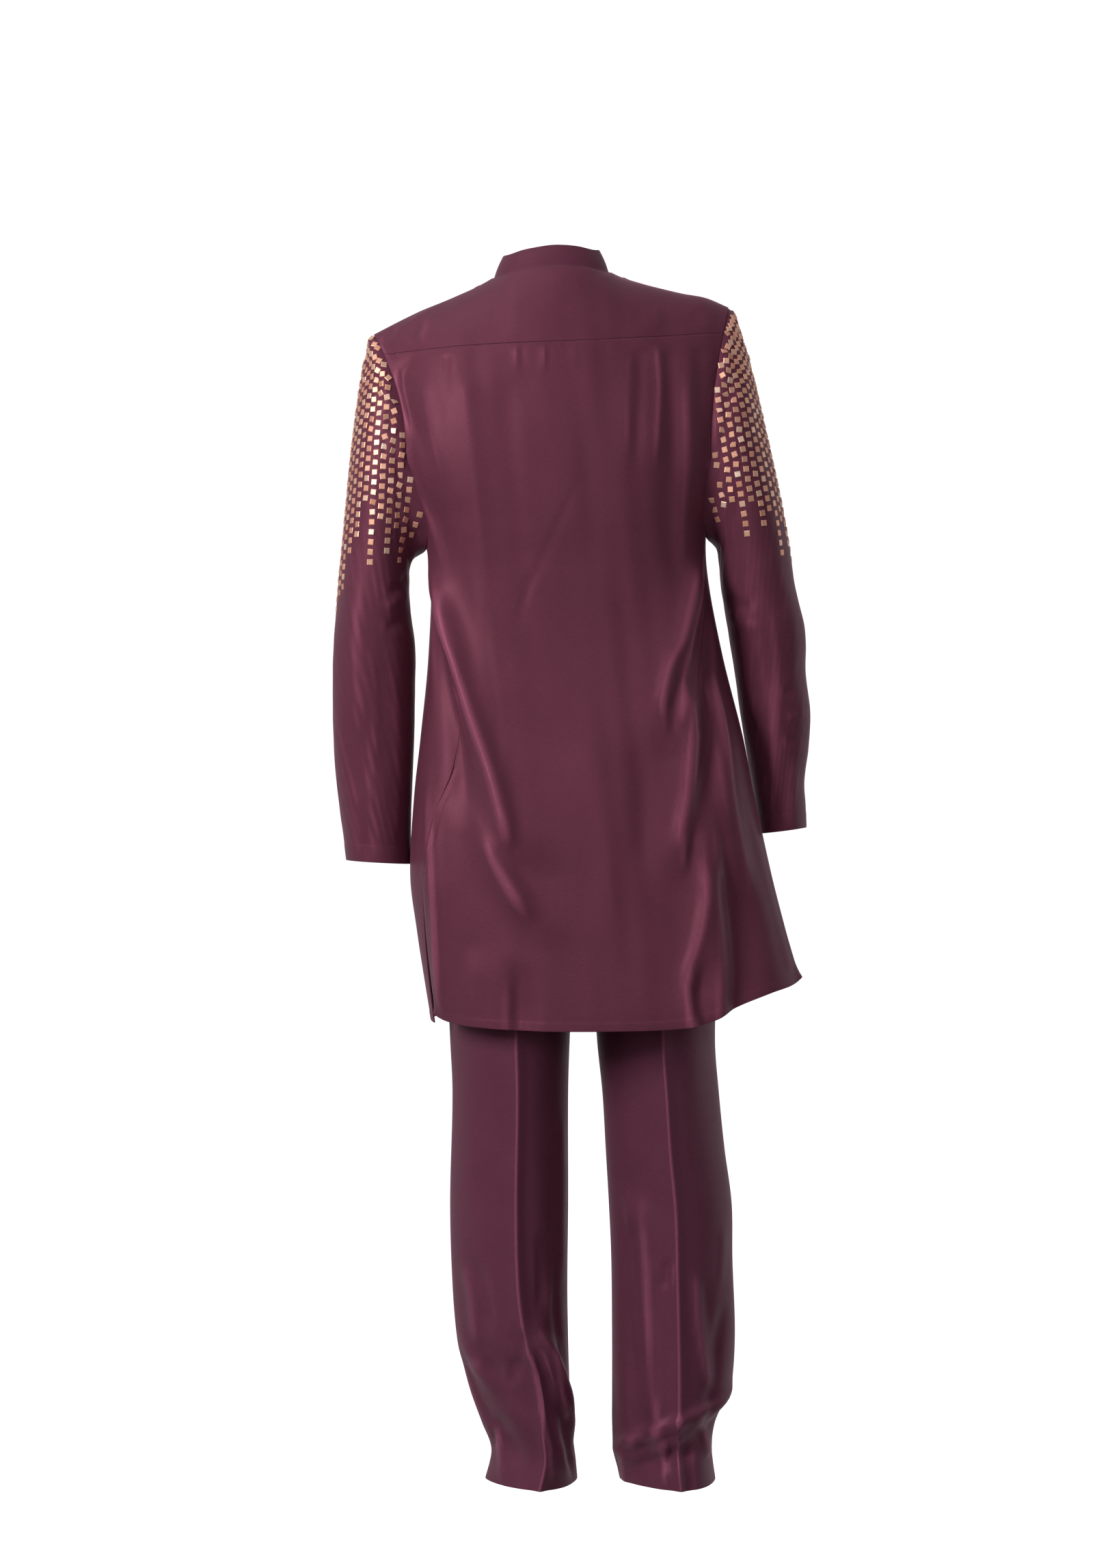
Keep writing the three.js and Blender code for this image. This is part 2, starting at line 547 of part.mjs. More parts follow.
function kurtaYoke() {
  const grid = panelColumns(BACK_COLUMNS).map((across) => {
    const rows = [];
    const neck = across > NECK_LEFT + NECK_EDGE && across < NECK_RIGHT - NECK_EDGE;
    const top = topTurn(across, 'back') + (neck ? 0 : SEAM_TURN);
    for (let k = 0; k <= YOKE_ROWS; k += 1) {
      rows.push(shoulderPoint(across, lerp(yokeSeamTurn(across) - SEAM_TURN, top, k / YOKE_ROWS)));
    }
    return rows;
  });
  return wall(grid, WALL);
}

// How far the front panel's edge is parted from the back's along a slit, from 0 to 1
function slitOpen(z) {
  return ease(SLIT_TOP_Z, DEEPEST_HEM_Z, z);
}

function frontEdged(across, z) {
  const parted = SLIT_PARTING * slitOpen(z);
  const left = edgeTurn('left', 'front', z) - parted;
  const right = edgeTurn('right', 'front', z) - 360 + parted;
  const turn = lerp(left, right, seamInset(across));
  const point = bodyRing(turn, z);
  const fromEdge = Math.min(across, 1 - across) * PANEL_WIDTH;
  const nearEdge = ridge(fromEdge, SLIT_INSET_WIDE, SLIT_INSET_WIDE);
  const inward = new THREE.Vector3(HIP_MIDDLE_X - point.x, BODY_MIDDLE_Y - point.y, 0).normalize();
  return point.addScaledVector(inward, SLIT_INSET * nearEdge * slitOpen(z));
}

function frontRows(across) {
  const hemZ = read(FRONT_HEM, 'across', across, 'z');
  const rows = PANEL_LEVELS.map((level) => frontEdged(across, fallToHem(level, hemZ)));
  const neck = across > NECK_LEFT + NECK_EDGE && across < NECK_RIGHT - NECK_EDGE;
  const top = topTurn(across, 'front') - (neck ? 0 : SEAM_TURN);
  for (let k = 1; k <= ARCH_ROWS; k += 1) {
    rows.push(shoulderPoint(across, lerp(0, top, k / ARCH_ROWS)));
  }
  return rows;
}

function kurtaFront() {
  const grid = panelColumns(FRONT_COLUMNS).reverse().map(frontRows);
  return wall(grid, WALL);
}

// Neckline from the middle of the front by the left side round the back to the front again
function necklineCurve() {
  const inside = [];
  for (let i = 0; i <= 10; i += 1) {
    inside.push(lerp(NECK_LEFT + NECK_CORNER, NECK_RIGHT - NECK_CORNER, i / 10));
  }
  const front = (across) => shoulderPoint(across, topTurn(across, 'front'));
  const back = (across) => shoulderPoint(across, topTurn(across, 'back'));
  const points = inside.slice(0, 6).reverse().map(front);
  points.push(shoulderPoint(NECK_LEFT + NECK_CORNER / 2, 90));
  points.push(...inside.map(back));
  points.push(shoulderPoint(NECK_RIGHT - NECK_CORNER / 2, 90));
  points.push(...inside.slice(5).reverse().map(front));
  return new THREE.CatmullRomCurve3(points, false, 'centripetal');
}

function collarBand() {
  const neckline = necklineCurve();
  const axis = new THREE.Vector3((SHOULDER_LEFT_X + SHOULDER_RIGHT_X) / 2, CREST_Y, 0);
  const grid = [];
  for (let i = 0; i <= COLLAR_COLUMNS; i += 1) {
    const base = neckline.getPointAt(lerp(COLLAR_OPEN, 1 - COLLAR_OPEN, i / COLLAR_COLUMNS));
    const inward = axis.clone().sub(base).setZ(0).normalize();
    const up = new THREE.Vector3(0, COLLAR_LEAN_FORWARD, 1);
    up.addScaledVector(inward, COLLAR_LEAN_IN).normalize();
    const rows = [COLLAR_CLEAR, COLLAR_HEIGHT / 2, COLLAR_HEIGHT].map((height) => {
      const bow = COLLAR_BOW * Math.sin((height / COLLAR_HEIGHT) * Math.PI);
      return base.clone().addScaledVector(up, height).addScaledVector(inward, COLLAR_SET_IN - bow);
    });
    grid.push(rows);
  }
  return wall(grid.reverse(), COLLAR_WALL);
}

// Armhole from the armpit up its back edge, over the shoulder and down its front edge
function armhole(side) {
  const across = side === 'left' ? 0 : 1;
  const away = side === 'left' ? BESIDE : -BESIDE;
  const stops = PANEL_LEVELS.filter((level) => level >= ARMHOLE[side].armpit);
  const seam = yokeSeamTurn(across);
  const lines = stops.map((z) => (a) => backPoint(a, z));
  for (let k = 1; k <= ARCH_ROWS; k += 1) {
    lines.push((a) => shoulderPoint(a, lerp(180, seam, k / ARCH_ROWS)));
  }
  for (let k = 1; k <= YOKE_ROWS; k += 1) {
    lines.push((a) => shoulderPoint(a, lerp(seam, FRONT_SEAM_TURN, k / YOKE_ROWS)));
  }
  for (let k = 1; k <= ARCH_ROWS; k += 1) {
    lines.push((a) => shoulderPoint(a, lerp(FRONT_SEAM_TURN, 0, k / ARCH_ROWS)));
  }
  for (const z of stops.slice(1, -1).reverse()) lines.push((a) => frontPoint(a, z));
  const edge = lines.map((line) => line(across));
  return edge.map((point, i) => {
    const tangent = direction(edge, i, true).normalize();
    const outward = point.clone().sub(lines[i](across + away));
    outward.addScaledVector(tangent, -outward.dot(tangent)).normalize();
    if (i === 0) return point.clone().setZ(point.z + ARMPIT_SEAM);
    return point.clone().addScaledVector(outward, SEAM + WALL * SLEEVE_SET);
  });
}

function sleeveRise(side, turn, z) {
  let rise = 0;
  for (const fold of SLEEVE_FOLDS[side]) {
    const off = apart(turn, fold.turn);
    rise += fold.rise * ridge(off, fold.around, fold.around) * ridge(z - fold.z, fold.along, fold.along);
  }
  return rise;
}

function sleeveRing(side, ring, turn) {
  const outer = new THREE.Vector3(ring.outerX, ring.midY, ring.outerZ);
  const inner = new THREE.Vector3(ring.innerX, ring.midY, ring.innerZ);
  const middle = outer.clone().add(inner).multiplyScalar(0.5);
  const out = outer.clone().sub(inner).multiplyScalar(0.5);
  const c = Math.cos(radians(turn));
  const s = Math.sin(radians(turn));
  const push = out.clone().normalize().multiplyScalar(c).add(new THREE.Vector3(0, -s, 0));
  const point = middle.addScaledVector(out, c).add(new THREE.Vector3(0, -s * ring.depth, 0));
  return point.addScaledVector(push, sleeveRise(side, turn, point.z));
}

function sleeve(side) {
  const start = armhole(side);
  const lengths = start.map((point, i) => point.distanceTo(start[(i + 1) % start.length]));
  const total = lengths.reduce((sum, length) => sum + length, 0);
  let walked = 0;
  const grid = start.map((point, i) => {
    const turn = 180 - (360 * walked) / total;
    walked += lengths[i];
    const rings = SLEEVES[side].map((ring) => {
      return sleeveRing(side, ring, (turn + 360) % 360).lerp(point, ring.follow);
    });
    return [point, ...rings];
  });
  if (side === 'left') grid.reverse();
  return wall(grid, WALL, { round: true });
}

// Strip of the front opening, made from the front panel's points and moved out
function frontMiddle(offset, share) {
  const across = 0.5 + offset / PANEL_WIDTH;
  const top = topTurn(0.5, 'front') - 2;
  if (share > 0.5) return shoulderPoint(across, lerp(0, top, (share - 0.5) * 2));
  return frontEdged(across, lerp(PLACKET_FOOT_Z, BLADE_Z, share * 2));
}

function placketStrip() {
  const grid = [];
  for (let i = 0; i <= 4; i += 1) {
    const offset = lerp(PLACKET_HALF, -PLACKET_HALF, i / 4);
    const rows = [];
    for (let j = 0; j <= 12; j += 1) rows.push(frontMiddle(offset, j / 12));
    grid.push(rows);
  }
  return wall(grid, PLACKET_WALL, { lift: WALL / 2 + PLACKET_CLEAR + PLACKET_WALL / 2 });
}

function button(index) {
  const share = lerp(BUTTON_LOWEST, BUTTON_HIGHEST, index / (BUTTON_COUNT - 1));
  const seat = frontMiddle(0, share);
  const across = frontMiddle(-4, share).sub(frontMiddle(4, share));
  const along = frontMiddle(0, share + 0.02).sub(frontMiddle(0, share - 0.02));
  const outward = across.cross(along).normalize();
  const geometry = new THREE.CylinderGeometry(BUTTON_RADIUS * BUTTON_TAPER, BUTTON_RADIUS, BUTTON_THICK, 18);
  const mesh = new THREE.Mesh(geometry);
  const lift = WALL / 2 + PLACKET_CLEAR + PLACKET_WALL + SEAM + BUTTON_THICK / 2;
  mesh.position.copy(seat.addScaledVector(outward, lift));
  mesh.quaternion.setFromUnitVectors(new THREE.Vector3(0, 1, 0), outward);
  return mesh;
}

// Trousers: quarters of the hips above the crotch, halves of the legs below it
function hipPoint(turn, z) {
  const half = read(HIP_SECTIONS, 'z', z, 'half');
  const s = Math.sin(radians(turn));
  const c = Math.cos(radians(turn));
  const depth = read(HIP_SECTIONS, 'z', z, s < 0 ? 'back' : 'front') - LEG_MIDDLE_Y;
  const x = HIP_MIDDLE_X + half * c * (1 + BODY_SQUARE * s * s);
  return new THREE.Vector3(x, LEG_MIDDLE_Y + depth * Math.abs(s) * (1 + BODY_SQUARE * c * c), z);
}

function legRise(side, turn, z) {
  let rise = 0;
  for (const fold of LEG_FOLDS[side]) {
    const share = THREE.MathUtils.clamp((fold.top - z) / (fold.top - fold.foot), 0, 1);
    const off = apart(turn, lerp(fold.topTurn, fold.footTurn, share)) * LEG_MM_PER_DEGREE;
    const sideways = Math.abs(fold.footTurn - fold.topTurn) * LEG_MM_PER_DEGREE;
    const slope = sideways / (fold.top - fold.foot);
    const wide = fold.wide * Math.hypot(1, slope);
    const lasts = ease(fold.top + LEG_FADE / 2, fold.top - LEG_FADE / 2, z)
      * ease(fold.foot - LEG_FADE / 2, fold.foot + LEG_FADE / 2, z);
    rise += fold.rise * lasts * ridge(off, wide, wide);
  }
  const pressed = ease(LEG_START_Z, LEG_START_Z - CREASE_START, z);
  const fromCrease = Math.min(Math.abs(turn - 270), Math.abs(turn - 90)) * LEG_MM_PER_DEGREE;
  return rise + CREASE_RISE * pressed * ridge(fromCrease, CREASE_WIDE, CREASE_WIDE);
}

function legPoint(side, turn, z) {
  const leg = LEGS[side];
  const outer = read(leg, 'z', z, 'outer');
  const inner = read(leg, 'z', z, 'inner');
  const c = Math.cos(radians(turn));
  const s = Math.sin(radians(turn));
  const half = Math.abs(outer - inner) / 2;
  const depth = read(leg, 'z', z, s < 0 ? 'back' : 'front') - LEG_MIDDLE_Y;
  const shift = read(leg, 'z', z, 'crease') * (s < 0 ? 1 : FRONT_CREASE_SHIFT) * s * s;
  const x = (outer + inner) / 2 + half * c + shift;
  const y = LEG_MIDDLE_Y + Math.sign(depth) * SEAM + depth * (1 - Math.abs(c) ** LEG_BEND) ** LEG_ROUND;
  const outward = new THREE.Vector3(c, s, 0);
  return new THREE.Vector3(x, y, z).addScaledVector(outward, legRise(side, turn, z));
}

function trouserPanel(side, face) {
  const sideTurn = side === 'left' ? 180 : face === 'back' ? 360 : 0;
  const middleTurn = face === 'back' ? 270 : 90;
  const innerTurn = side === 'right' ? 180 : face === 'back' ? 360 : 0;
  const grid = [];
  for (let i = 0; i <= LEG_COLUMNS; i += 1) {
    const across = lerp(LEG_SEAM_SHARE, 1 - LEG_SEAM_SHARE, i / LEG_COLUMNS);
    grid.push(LEG_LEVELS.map((z) => {
      const hip = hipPoint(lerp(sideTurn, middleTurn, across), z);
      const leg = legPoint(side, lerp(sideTurn, innerTurn, across), z);
      return hip.lerp(leg, ease(HIP_END_Z, LEG_START_Z, z));
    }).reverse());
  }
  if ((side === 'left') !== (face === 'back')) grid.reverse();
  return wall(grid, WALL);
}

function trouserWaistband() {
  const grid = [];
  for (let i = 0; i < WAISTBAND_COLUMNS; i += 1) {
    const turn = (360 * i) / WAISTBAND_COLUMNS;
    const rows = [WAIST_Z + SEAM, (WAIST_Z + WAISTBAND_TOP_Z) / 2, WAISTBAND_TOP_Z];
    grid.push(rows.map((z) => hipPoint(turn, z)));
  }
  return wall(grid, WAISTBAND_WALL, { round: true });
}

// Materials
const WINE_CREPE = { color: 0x6a3547, roughness: 0.55, metalness: 0 };
const WINE_BUTTON = { color: 0x4a2230, roughness: 0.35, metalness: 0 };

function piece(name, geometry, finish) {
  const mesh = new THREE.Mesh(geometry, new THREE.MeshStandardMaterial({ ...finish, name }));
  mesh.name = name;
  return mesh;
}

const outfit = new THREE.Group();
outfit.name = 'kurta_and_trousers';

const kurta = new THREE.Group();
kurta.add(piece('kurta_back', kurtaBack(), WINE_CREPE));
kurta.add(piece('kurta_yoke', kurtaYoke(), WINE_CREPE));
kurta.add(piece('kurta_front', kurtaFront(), WINE_CREPE));
kurta.add(piece('collar_band', collarBand(), WINE_CREPE));
kurta.add(piece('placket_strip', placketStrip(), WINE_CREPE));
for (const side of ['left', 'right']) kurta.add(piece(`sleeve_${side}`, sleeve(side), WINE_CREPE));
for (let index = 0; index < BUTTON_COUNT; index += 1) {
  const mesh = button(index);
  mesh.name = `button_${index + 1}`;
  mesh.material = new THREE.MeshStandardMaterial({ ...WINE_BUTTON, name: mesh.name });
  kurta.add(mesh);
}
outfit.add(kurta);

const trousers = new THREE.Group();
for (const side of ['left', 'right']) {
  for (const face of ['back', 'front']) {
    trousers.add(piece(`trouser_${face}_${side}`, trouserPanel(side, face), WINE_CREPE));
  }
}
trousers.add(piece('trouser_waistband', trouserWaistband(), WINE_CREPE));
outfit.add(trousers);

export default outfit;
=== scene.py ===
"""Kurta and straight trousers as worn, seen from behind: wine satin crepe, rose metal squares.

The tables are in millimetres and degrees and repeat the ones the solids are made from. +Z is up,
the back faces -Y and +X is the garment's own right. A turn goes round the body in degrees: 0 is +X,
90 the front, 180 is -X, 270 the back.
"""

import math

import bpy
import numpy as np
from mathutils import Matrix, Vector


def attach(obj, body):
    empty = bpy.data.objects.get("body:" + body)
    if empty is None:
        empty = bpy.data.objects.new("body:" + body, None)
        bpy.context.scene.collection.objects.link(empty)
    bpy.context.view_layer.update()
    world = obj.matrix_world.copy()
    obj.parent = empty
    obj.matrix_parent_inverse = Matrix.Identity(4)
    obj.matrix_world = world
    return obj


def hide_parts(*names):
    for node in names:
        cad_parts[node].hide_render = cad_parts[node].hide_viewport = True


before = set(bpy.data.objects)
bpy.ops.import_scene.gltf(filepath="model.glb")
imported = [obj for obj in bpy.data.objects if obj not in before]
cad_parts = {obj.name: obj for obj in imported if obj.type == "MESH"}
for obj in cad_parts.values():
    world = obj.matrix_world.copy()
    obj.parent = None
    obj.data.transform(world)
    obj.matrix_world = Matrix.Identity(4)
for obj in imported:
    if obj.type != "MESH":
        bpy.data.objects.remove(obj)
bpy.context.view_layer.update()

# Studio. A pale floor lies a little below the hems, and white paper stands all round. Wide soft
# lamps hang on the left, behind the camera and above, and a weak one on the right opens the shade.

FLOOR_Z = -1.608
WHITE_SEEN = 1.08
WHITE_BEHIND = 0.36
WHITE_IN_FRONT = 0.10
WHITE_ON_LEFT = 0.03
WHITE_ON_RIGHT = 0.065


def add_node(tree, kind, inputs=None, **settings):
    """Adds one shader node; each input gets its value, or a link where it is given a socket."""
    made = tree.nodes.new(kind)
    for key, value in settings.items():
        setattr(made, key, value)
    for key, value in (inputs or {}).items():
        if isinstance(value, bpy.types.NodeSocket):
            tree.links.new(value, made.inputs[key])
        else:
            made.inputs[key].default_value = value
    return made


def studio_world():
    """White paper as a world: evenly white to look at, while its light on the garment is a smooth
    step along Y plus a share of -X and of +X, because flags keep most of it off."""
    world = bpy.data.worlds.new("studio_paper")
    world.use_nodes = True
    tree = world.node_tree
    tree.nodes.clear()
    coordinates = add_node(tree, "ShaderNodeTexCoord")
    split = add_node(tree, "ShaderNodeSeparateXYZ", {0: coordinates.outputs["Generated"]})
    total = add_node(
        tree,
        "ShaderNodeMapRange",
        {"Value": split.outputs["Y"], 1: -0.25, 2: 0.45, 3: WHITE_IN_FRONT, 4: WHITE_BEHIND},
        interpolation_type="SMOOTHSTEP",
    )
    for start, end, white in ((0.15, -0.9, WHITE_ON_LEFT), (-0.1, 0.8, WHITE_ON_RIGHT)):
        card = add_node(
            tree,
            "ShaderNodeMapRange",
            {"Value": split.outputs["X"], 1: start, 2: end, 3: 0.0, 4: white},
            interpolation_type="SMOOTHSTEP",
        )
        total = add_node(
            tree, "ShaderNodeMath", {0: total.outputs[0], 1: card.outputs[0]}, operation="ADD"
        )
    path = add_node(tree, "ShaderNodeLightPath")
    total = add_node(
        tree,
        "ShaderNodeMapRange",
        {"Value": path.outputs["Is Camera Ray"], 3: total.outputs[0], 4: WHITE_SEEN},
    )
    paper = add_node(
        tree,
        "ShaderNodeBackground",
        {"Color": (1.0, 0.985, 1.0, 1.0), "Strength": total.outputs[0]},
    )
    out = add_node(tree, "ShaderNodeOutputWorld")
    tree.links.new(paper.outputs[0], out.inputs["Surface"])
    bpy.context.scene.world = world


def lamp(name, place, towards, size, power, colour):
    """Square soft lamp at one point, turned to face another."""
    data = bpy.data.lights.new(name, "AREA")
    data.shape = "RECTANGLE"
    data.size, data.size_y = size
    data.energy = power
    data.color = colour
    light = bpy.data.objects.new(name, data)
    aim = Vector(towards) - Vector(place)
    light.location = place
    light.rotation_euler = aim.to_track_quat("-Z", "Y").to_euler()
    bpy.context.scene.collection.objects.link(light)


def studio_floor():
    """Flat square of paper, 14 m wide, a little luminous so that it shows as white as the rest."""
    half = 7.0
    corners = np.array([(-1, -1), (1, -1), (1, 1), (-1, 1)], float) * half
    points = np.column_stack([corners, np.full(4, FLOOR_Z)])
    mesh = bpy.data.meshes.new("studio_floor")
    mesh.from_pydata(points.tolist(), [], [(0, 1, 2, 3)])
    paper = bpy.data.materials.new("floor_paper")
    paper.use_nodes = True
    shader = paper.node_tree.nodes["Principled BSDF"]
    shader.inputs["Base Color"].default_value = (0.86, 0.83, 0.86, 1.0)
    shader.inputs["Roughness"].default_value = 0.9
    shader.inputs["Specular IOR Level"].default_value = 0.1
    shader.inputs["Emission Color"].default_value = (1.0, 0.97, 1.0, 1.0)
    shader.inputs["Emission Strength"].default_value = 0.86
    mesh.materials.append(paper)
    floor = bpy.data.objects.new("studio_floor", mesh)
    floor.visible_diffuse = floor.visible_glossy = False
    bpy.context.scene.collection.objects.link(floor)


studio_world()
studio_floor()
lamp("lamp_left", (-2.5, -2.5, 0.9), (0.0, 0.0, -0.6), (1.0, 1.6), 84, (1.0, 0.99, 0.98))
lamp("lamp_camera", (0.3, -4.5, 0.4), (0.05, 0.0, -0.6), (1.6, 1.6), 20, (1.0, 1.0, 1.0))
lamp("lamp_top", (-0.9, -0.6, 2.1), (0.0, 0.0, -0.4), (1.6, 1.2), 9, (1.0, 1.0, 1.0))
lamp("lamp_right", (2.6, 0.9, -0.1), (0.1, 0.0, -0.8), (0.9, 2.4), 4, (0.98, 0.98, 1.0))

# The camera stands 4.2 m behind the back at the height of the hips, and looks level
camera = bpy.data.objects.new("camera", bpy.data.cameras.new("camera"))
camera.data.sensor_width = 36.0
camera.data.lens = 76.43
camera.location = (0.0078, -4.2, -0.64)
camera.rotation_euler = (math.radians(90), 0.0, 0.0)
bpy.context.scene.collection.objects.link(camera)
bpy.context.scene.camera = camera
bpy.context.scene.view_settings.view_transform = "Standard"

# Back of the kurta. One panel of satin crepe from the yoke seam to the hem, cut on the straight
# grain, slit at both sides, with a narrow turned hem. It hangs in long drapes from the blades.

MM = 0.001
CLOTH = 0.9
HEM_TURN = 10.5
BLADE_Z = -235
STRAIGHT_Z = -400
DEEPEST_HEM_Z = -942
SLIT_TOP_Z = -655
CREST_Y = -2
SHOULDER_LEFT_X, SHOULDER_RIGHT_X = -220, 226
SHOULDER_ROUND = 2.2
CREST_EASE = 2.2
BODY_MIDDLE_Y = -10
BODY_SQUARE = 0.12
CHEST_DRAWN_IN = 14
WAIST_LEVEL_Z = -480
FOLD_FADE = 70
MM_PER_DEGREE = 3.1
PANEL_WIDTH = 420
ARMPIT = {"left": -345, "right": -330}
ARMHOLE_OPEN = {"left": {"back": 22, "front": 33}, "right": {"back": 25, "front": 28}}


def columns(names, *rows):
    """Table with named columns: each name goes with its own array."""
    return dict(zip(names.split(), np.array(rows, float).T, strict=True))


def curve(table, key, place, column):
    """Smooth curve through one column: a cubic from row to row whose slope at each row is that
    from the row before to the row after, level past both ends."""
    x, y = table[key], table[column]
    slope = np.gradient(y, x) if len(x) > 2 else np.full(len(x), (y[-1] - y[0]) / (x[-1] - x[0]))
    slope[1:-1] = (y[2:] - y[:-2]) / (x[2:] - x[:-2])
    place = np.clip(place, x[0], x[-1])
    n = np.clip(np.searchsorted(x, place, side="right") - 1, 0, len(x) - 2)
    span = x[n + 1] - x[n]
    u = (place - x[n]) / span
    rise = u * u * (3 - 2 * u)
    leave = u * (1 - u) ** 2 * slope[n] * span
    arrive = u * u * (1 - u) * slope[n + 1] * span
    return y[n] + (y[n + 1] - y[n]) * rise + leave - arrive


def ease(low, high, value):
    """Smooth step, 3s^2 - 2s^3 of the share s of the way from low to high."""
    share = np.clip((value - low) / (high - low), 0, 1)
    return share * share * (3 - 2 * share)


def lerp(a, b, share):
    """Value or point the given share of the way from a to b."""
    return a + (b - a) * share


BODY = columns(
    "z left right back front",
    (-950, -147, 334, -150, 114),
    (-892, -156, 320, -147, 112),
    (-823, -166, 300, -142, 110),
    (-754, -174, 281, -137, 108),
    (-655, -169, 258, -128, 106),
    (-582, -161, 244, -119, 106),
    (-478, -151, 218, -111, 108),
    (-375, -149, 199, -113, 112),
    (-315, -161, 198, -118, 114),
    (-275, -181, 208, -120, 114),
    (-235, -198, 219, -121, 113),
)
SIDE_SEAMS = columns(
    "z left right",
    (-942, 195, 345),
    (-884, 198, 346),
    (-800, 204, 347),
    (-716, 212, 348),
    (-670, 216, 349),
    (-618, 222, 350),
    (-492, 221, 353),
    (-400, 197, 356),
    (-345, 186, 358),
)
BACK_HEM = columns(
    "across z",
    (0, -927),
    (0.08, -934),
    (0.2, -939),
    (0.35, -942),
    (0.5, -941),
    (0.6, -938),
    (0.66, -930),
    (0.72, -915),
    (0.82, -898),
    (0.92, -890),
    (1, -884),
)
YOKE_SEAM = columns("across z", (0, -103), (0.3, -98), (0.6, -93), (1, -77))
CREST = columns(
    "x back front",
    (-220, -74, -74),
    (-166, -47, -47),
    (-115, -26, -26),
    (-73, -5, -8),
    (-38, 23, -28),
    (2, 35, -38),
    (40, 29, -27),
    (79, 3, 0),
    (119, -11, -11),
    (165, -22, -22),
    (200, -29, -29),
    (226, -40, -40),
)
# Main folds all round: height and turn of the top, the middle and the foot, the widths on the
# side of lower and of higher turns, and how far the fold stands out
KURTA_FOLDS = [
    (-335, 187, -500, 222, -760, 252, 16, 46, 11),
    (-370, 184, -560, 222, -700, 232, 24, 16, -9),
    (-660, 234, -760, 245, -850, 256, 18, 30, 7),
    (-610, 208, -740, 212, -960, 205, 16, 20, 5),
    (-850, 247, -900, 244, -990, 240, 12, 12, -7),
    (-345, 343, -470, 314, -620, 295, 44, 16, 11),
    (-390, 346, -500, 324, -660, 309, 14, 24, -8),
    (-500, 316, -650, 303, -780, 292, 26, 14, 7),
    (-480, 330, -640, 324, -800, 321, 22, 18, 7),
    (-650, 312, -800, 304, -985, 292, 30, 14, 10),
    (-720, 315, -840, 310, -985, 299, 13, 26, -9),
    (-110, 246, -345, 232, -590, 248, 22, 26, 3.5),
    (-100, 226, -250, 212, -400, 217, 16, 24, -4.5),
    (-100, 306, -260, 311, -420, 318, 24, 20, -4),
    (-560, 272, -740, 274, -985, 276, 36, 40, 5),
    (-300, 138, -520, 128, -985, 124, 26, 18, 8),
    (-340, 150, -560, 146, -985, 142, 20, 20, -7),
    (-420, 97, -640, 101, -985, 104, 24, 30, 5),
    (-360, 68, -620, 72, -985, 74, 22, 22, -5),
    (-320, 36, -600, 50, -985, 54, 18, 28, 8),
]


def soft_ridge(distance, low, high):
    """exp(-(distance / width)^2), with one width on each side of the line."""
    return np.exp(-((distance / np.where(distance < 0, low, high)) ** 2))


def kurta_rise(turn, z):
    """Sum of the main folds: each follows its own smooth line of turns from top to foot."""
    rise = np.zeros(np.broadcast(turn, z).shape)
    for top, top_turn, mid, mid_turn, foot, foot_turn, low, high, out in KURTA_FOLDS:
        path = columns("z turn", (foot, foot_turn), (mid, mid_turn), (top, top_turn))
        off = ((turn - curve(path, "z", z, "turn") + 900) % 360 - 180) * MM_PER_DEGREE
        lasts = ease(top, top - FOLD_FADE, z) * ease(foot, foot + FOLD_FADE, z)
        rise += out * lasts * soft_ridge(off, low, high)
    return rise


def body_ring(turn, z):
    """Point of the body: an oval between the four sides of its level, squared a little by
    1 + 0.12 sin^2, and moved out by the folds along the oval's own normal."""
    turn, z = np.broadcast_arrays(np.asarray(turn, float), np.asarray(z, float))
    left, right = curve(BODY, "z", z, "left"), curve(BODY, "z", z, "right")
    c, s = np.cos(np.radians(turn)), np.sin(np.radians(turn))
    half = (right - left) / 2
    face = np.where(s < 0, curve(BODY, "z", z, "back"), curve(BODY, "z", z, "front"))
    depth = face - BODY_MIDDLE_Y
    drawn_in = CHEST_DRAWN_IN * ease(0, 0.5, s) * np.maximum(c, 0) * ease(BLADE_Z, WAIST_LEVEL_Z, z)
    x = (left + right) / 2 + half * c * (1 + BODY_SQUARE * s * s) - drawn_in
    y = BODY_MIDDLE_Y + depth * np.abs(s) * (1 + BODY_SQUARE * c * c)
    out = np.stack([c * np.abs(depth), s * half, np.zeros_like(c)], -1)
    out /= np.linalg.norm(out, axis=-1, keepdims=True)
    return np.stack([x, y, z], -1) + out * kurta_rise(turn, z)[..., None]


def edge_turn(side, face, z):
    """Turn of a panel's edge: the side seam, and above the armpit a quarter oval round the
    armhole, opening by the square root of 1 - h^2."""
    seam = curve(SIDE_SEAMS, "z", np.minimum(z, ARMPIT[side]), side)
    up = np.clip((BLADE_Z - z) / (BLADE_Z - ARMPIT[side]), 0, 1)
    opened = ARMHOLE_OPEN[side][face] * np.sqrt(1 - up * up)
    return seam + (opened if face == "back" else -opened) * (1 if side == "left" else -1)


def back_point(across, z):
    """Point of the back, its turn going evenly from its left edge to its right one."""
    return body_ring(lerp(edge_turn("left", "back", z), edge_turn("right", "back", z), across), z)


def front_point(across, z):
    """Point of the front, its turn going evenly from its left edge round to its right one."""
    right = edge_turn("right", "front", z) - 360
    return body_ring(lerp(edge_turn("left", "front", z), right, across), z)


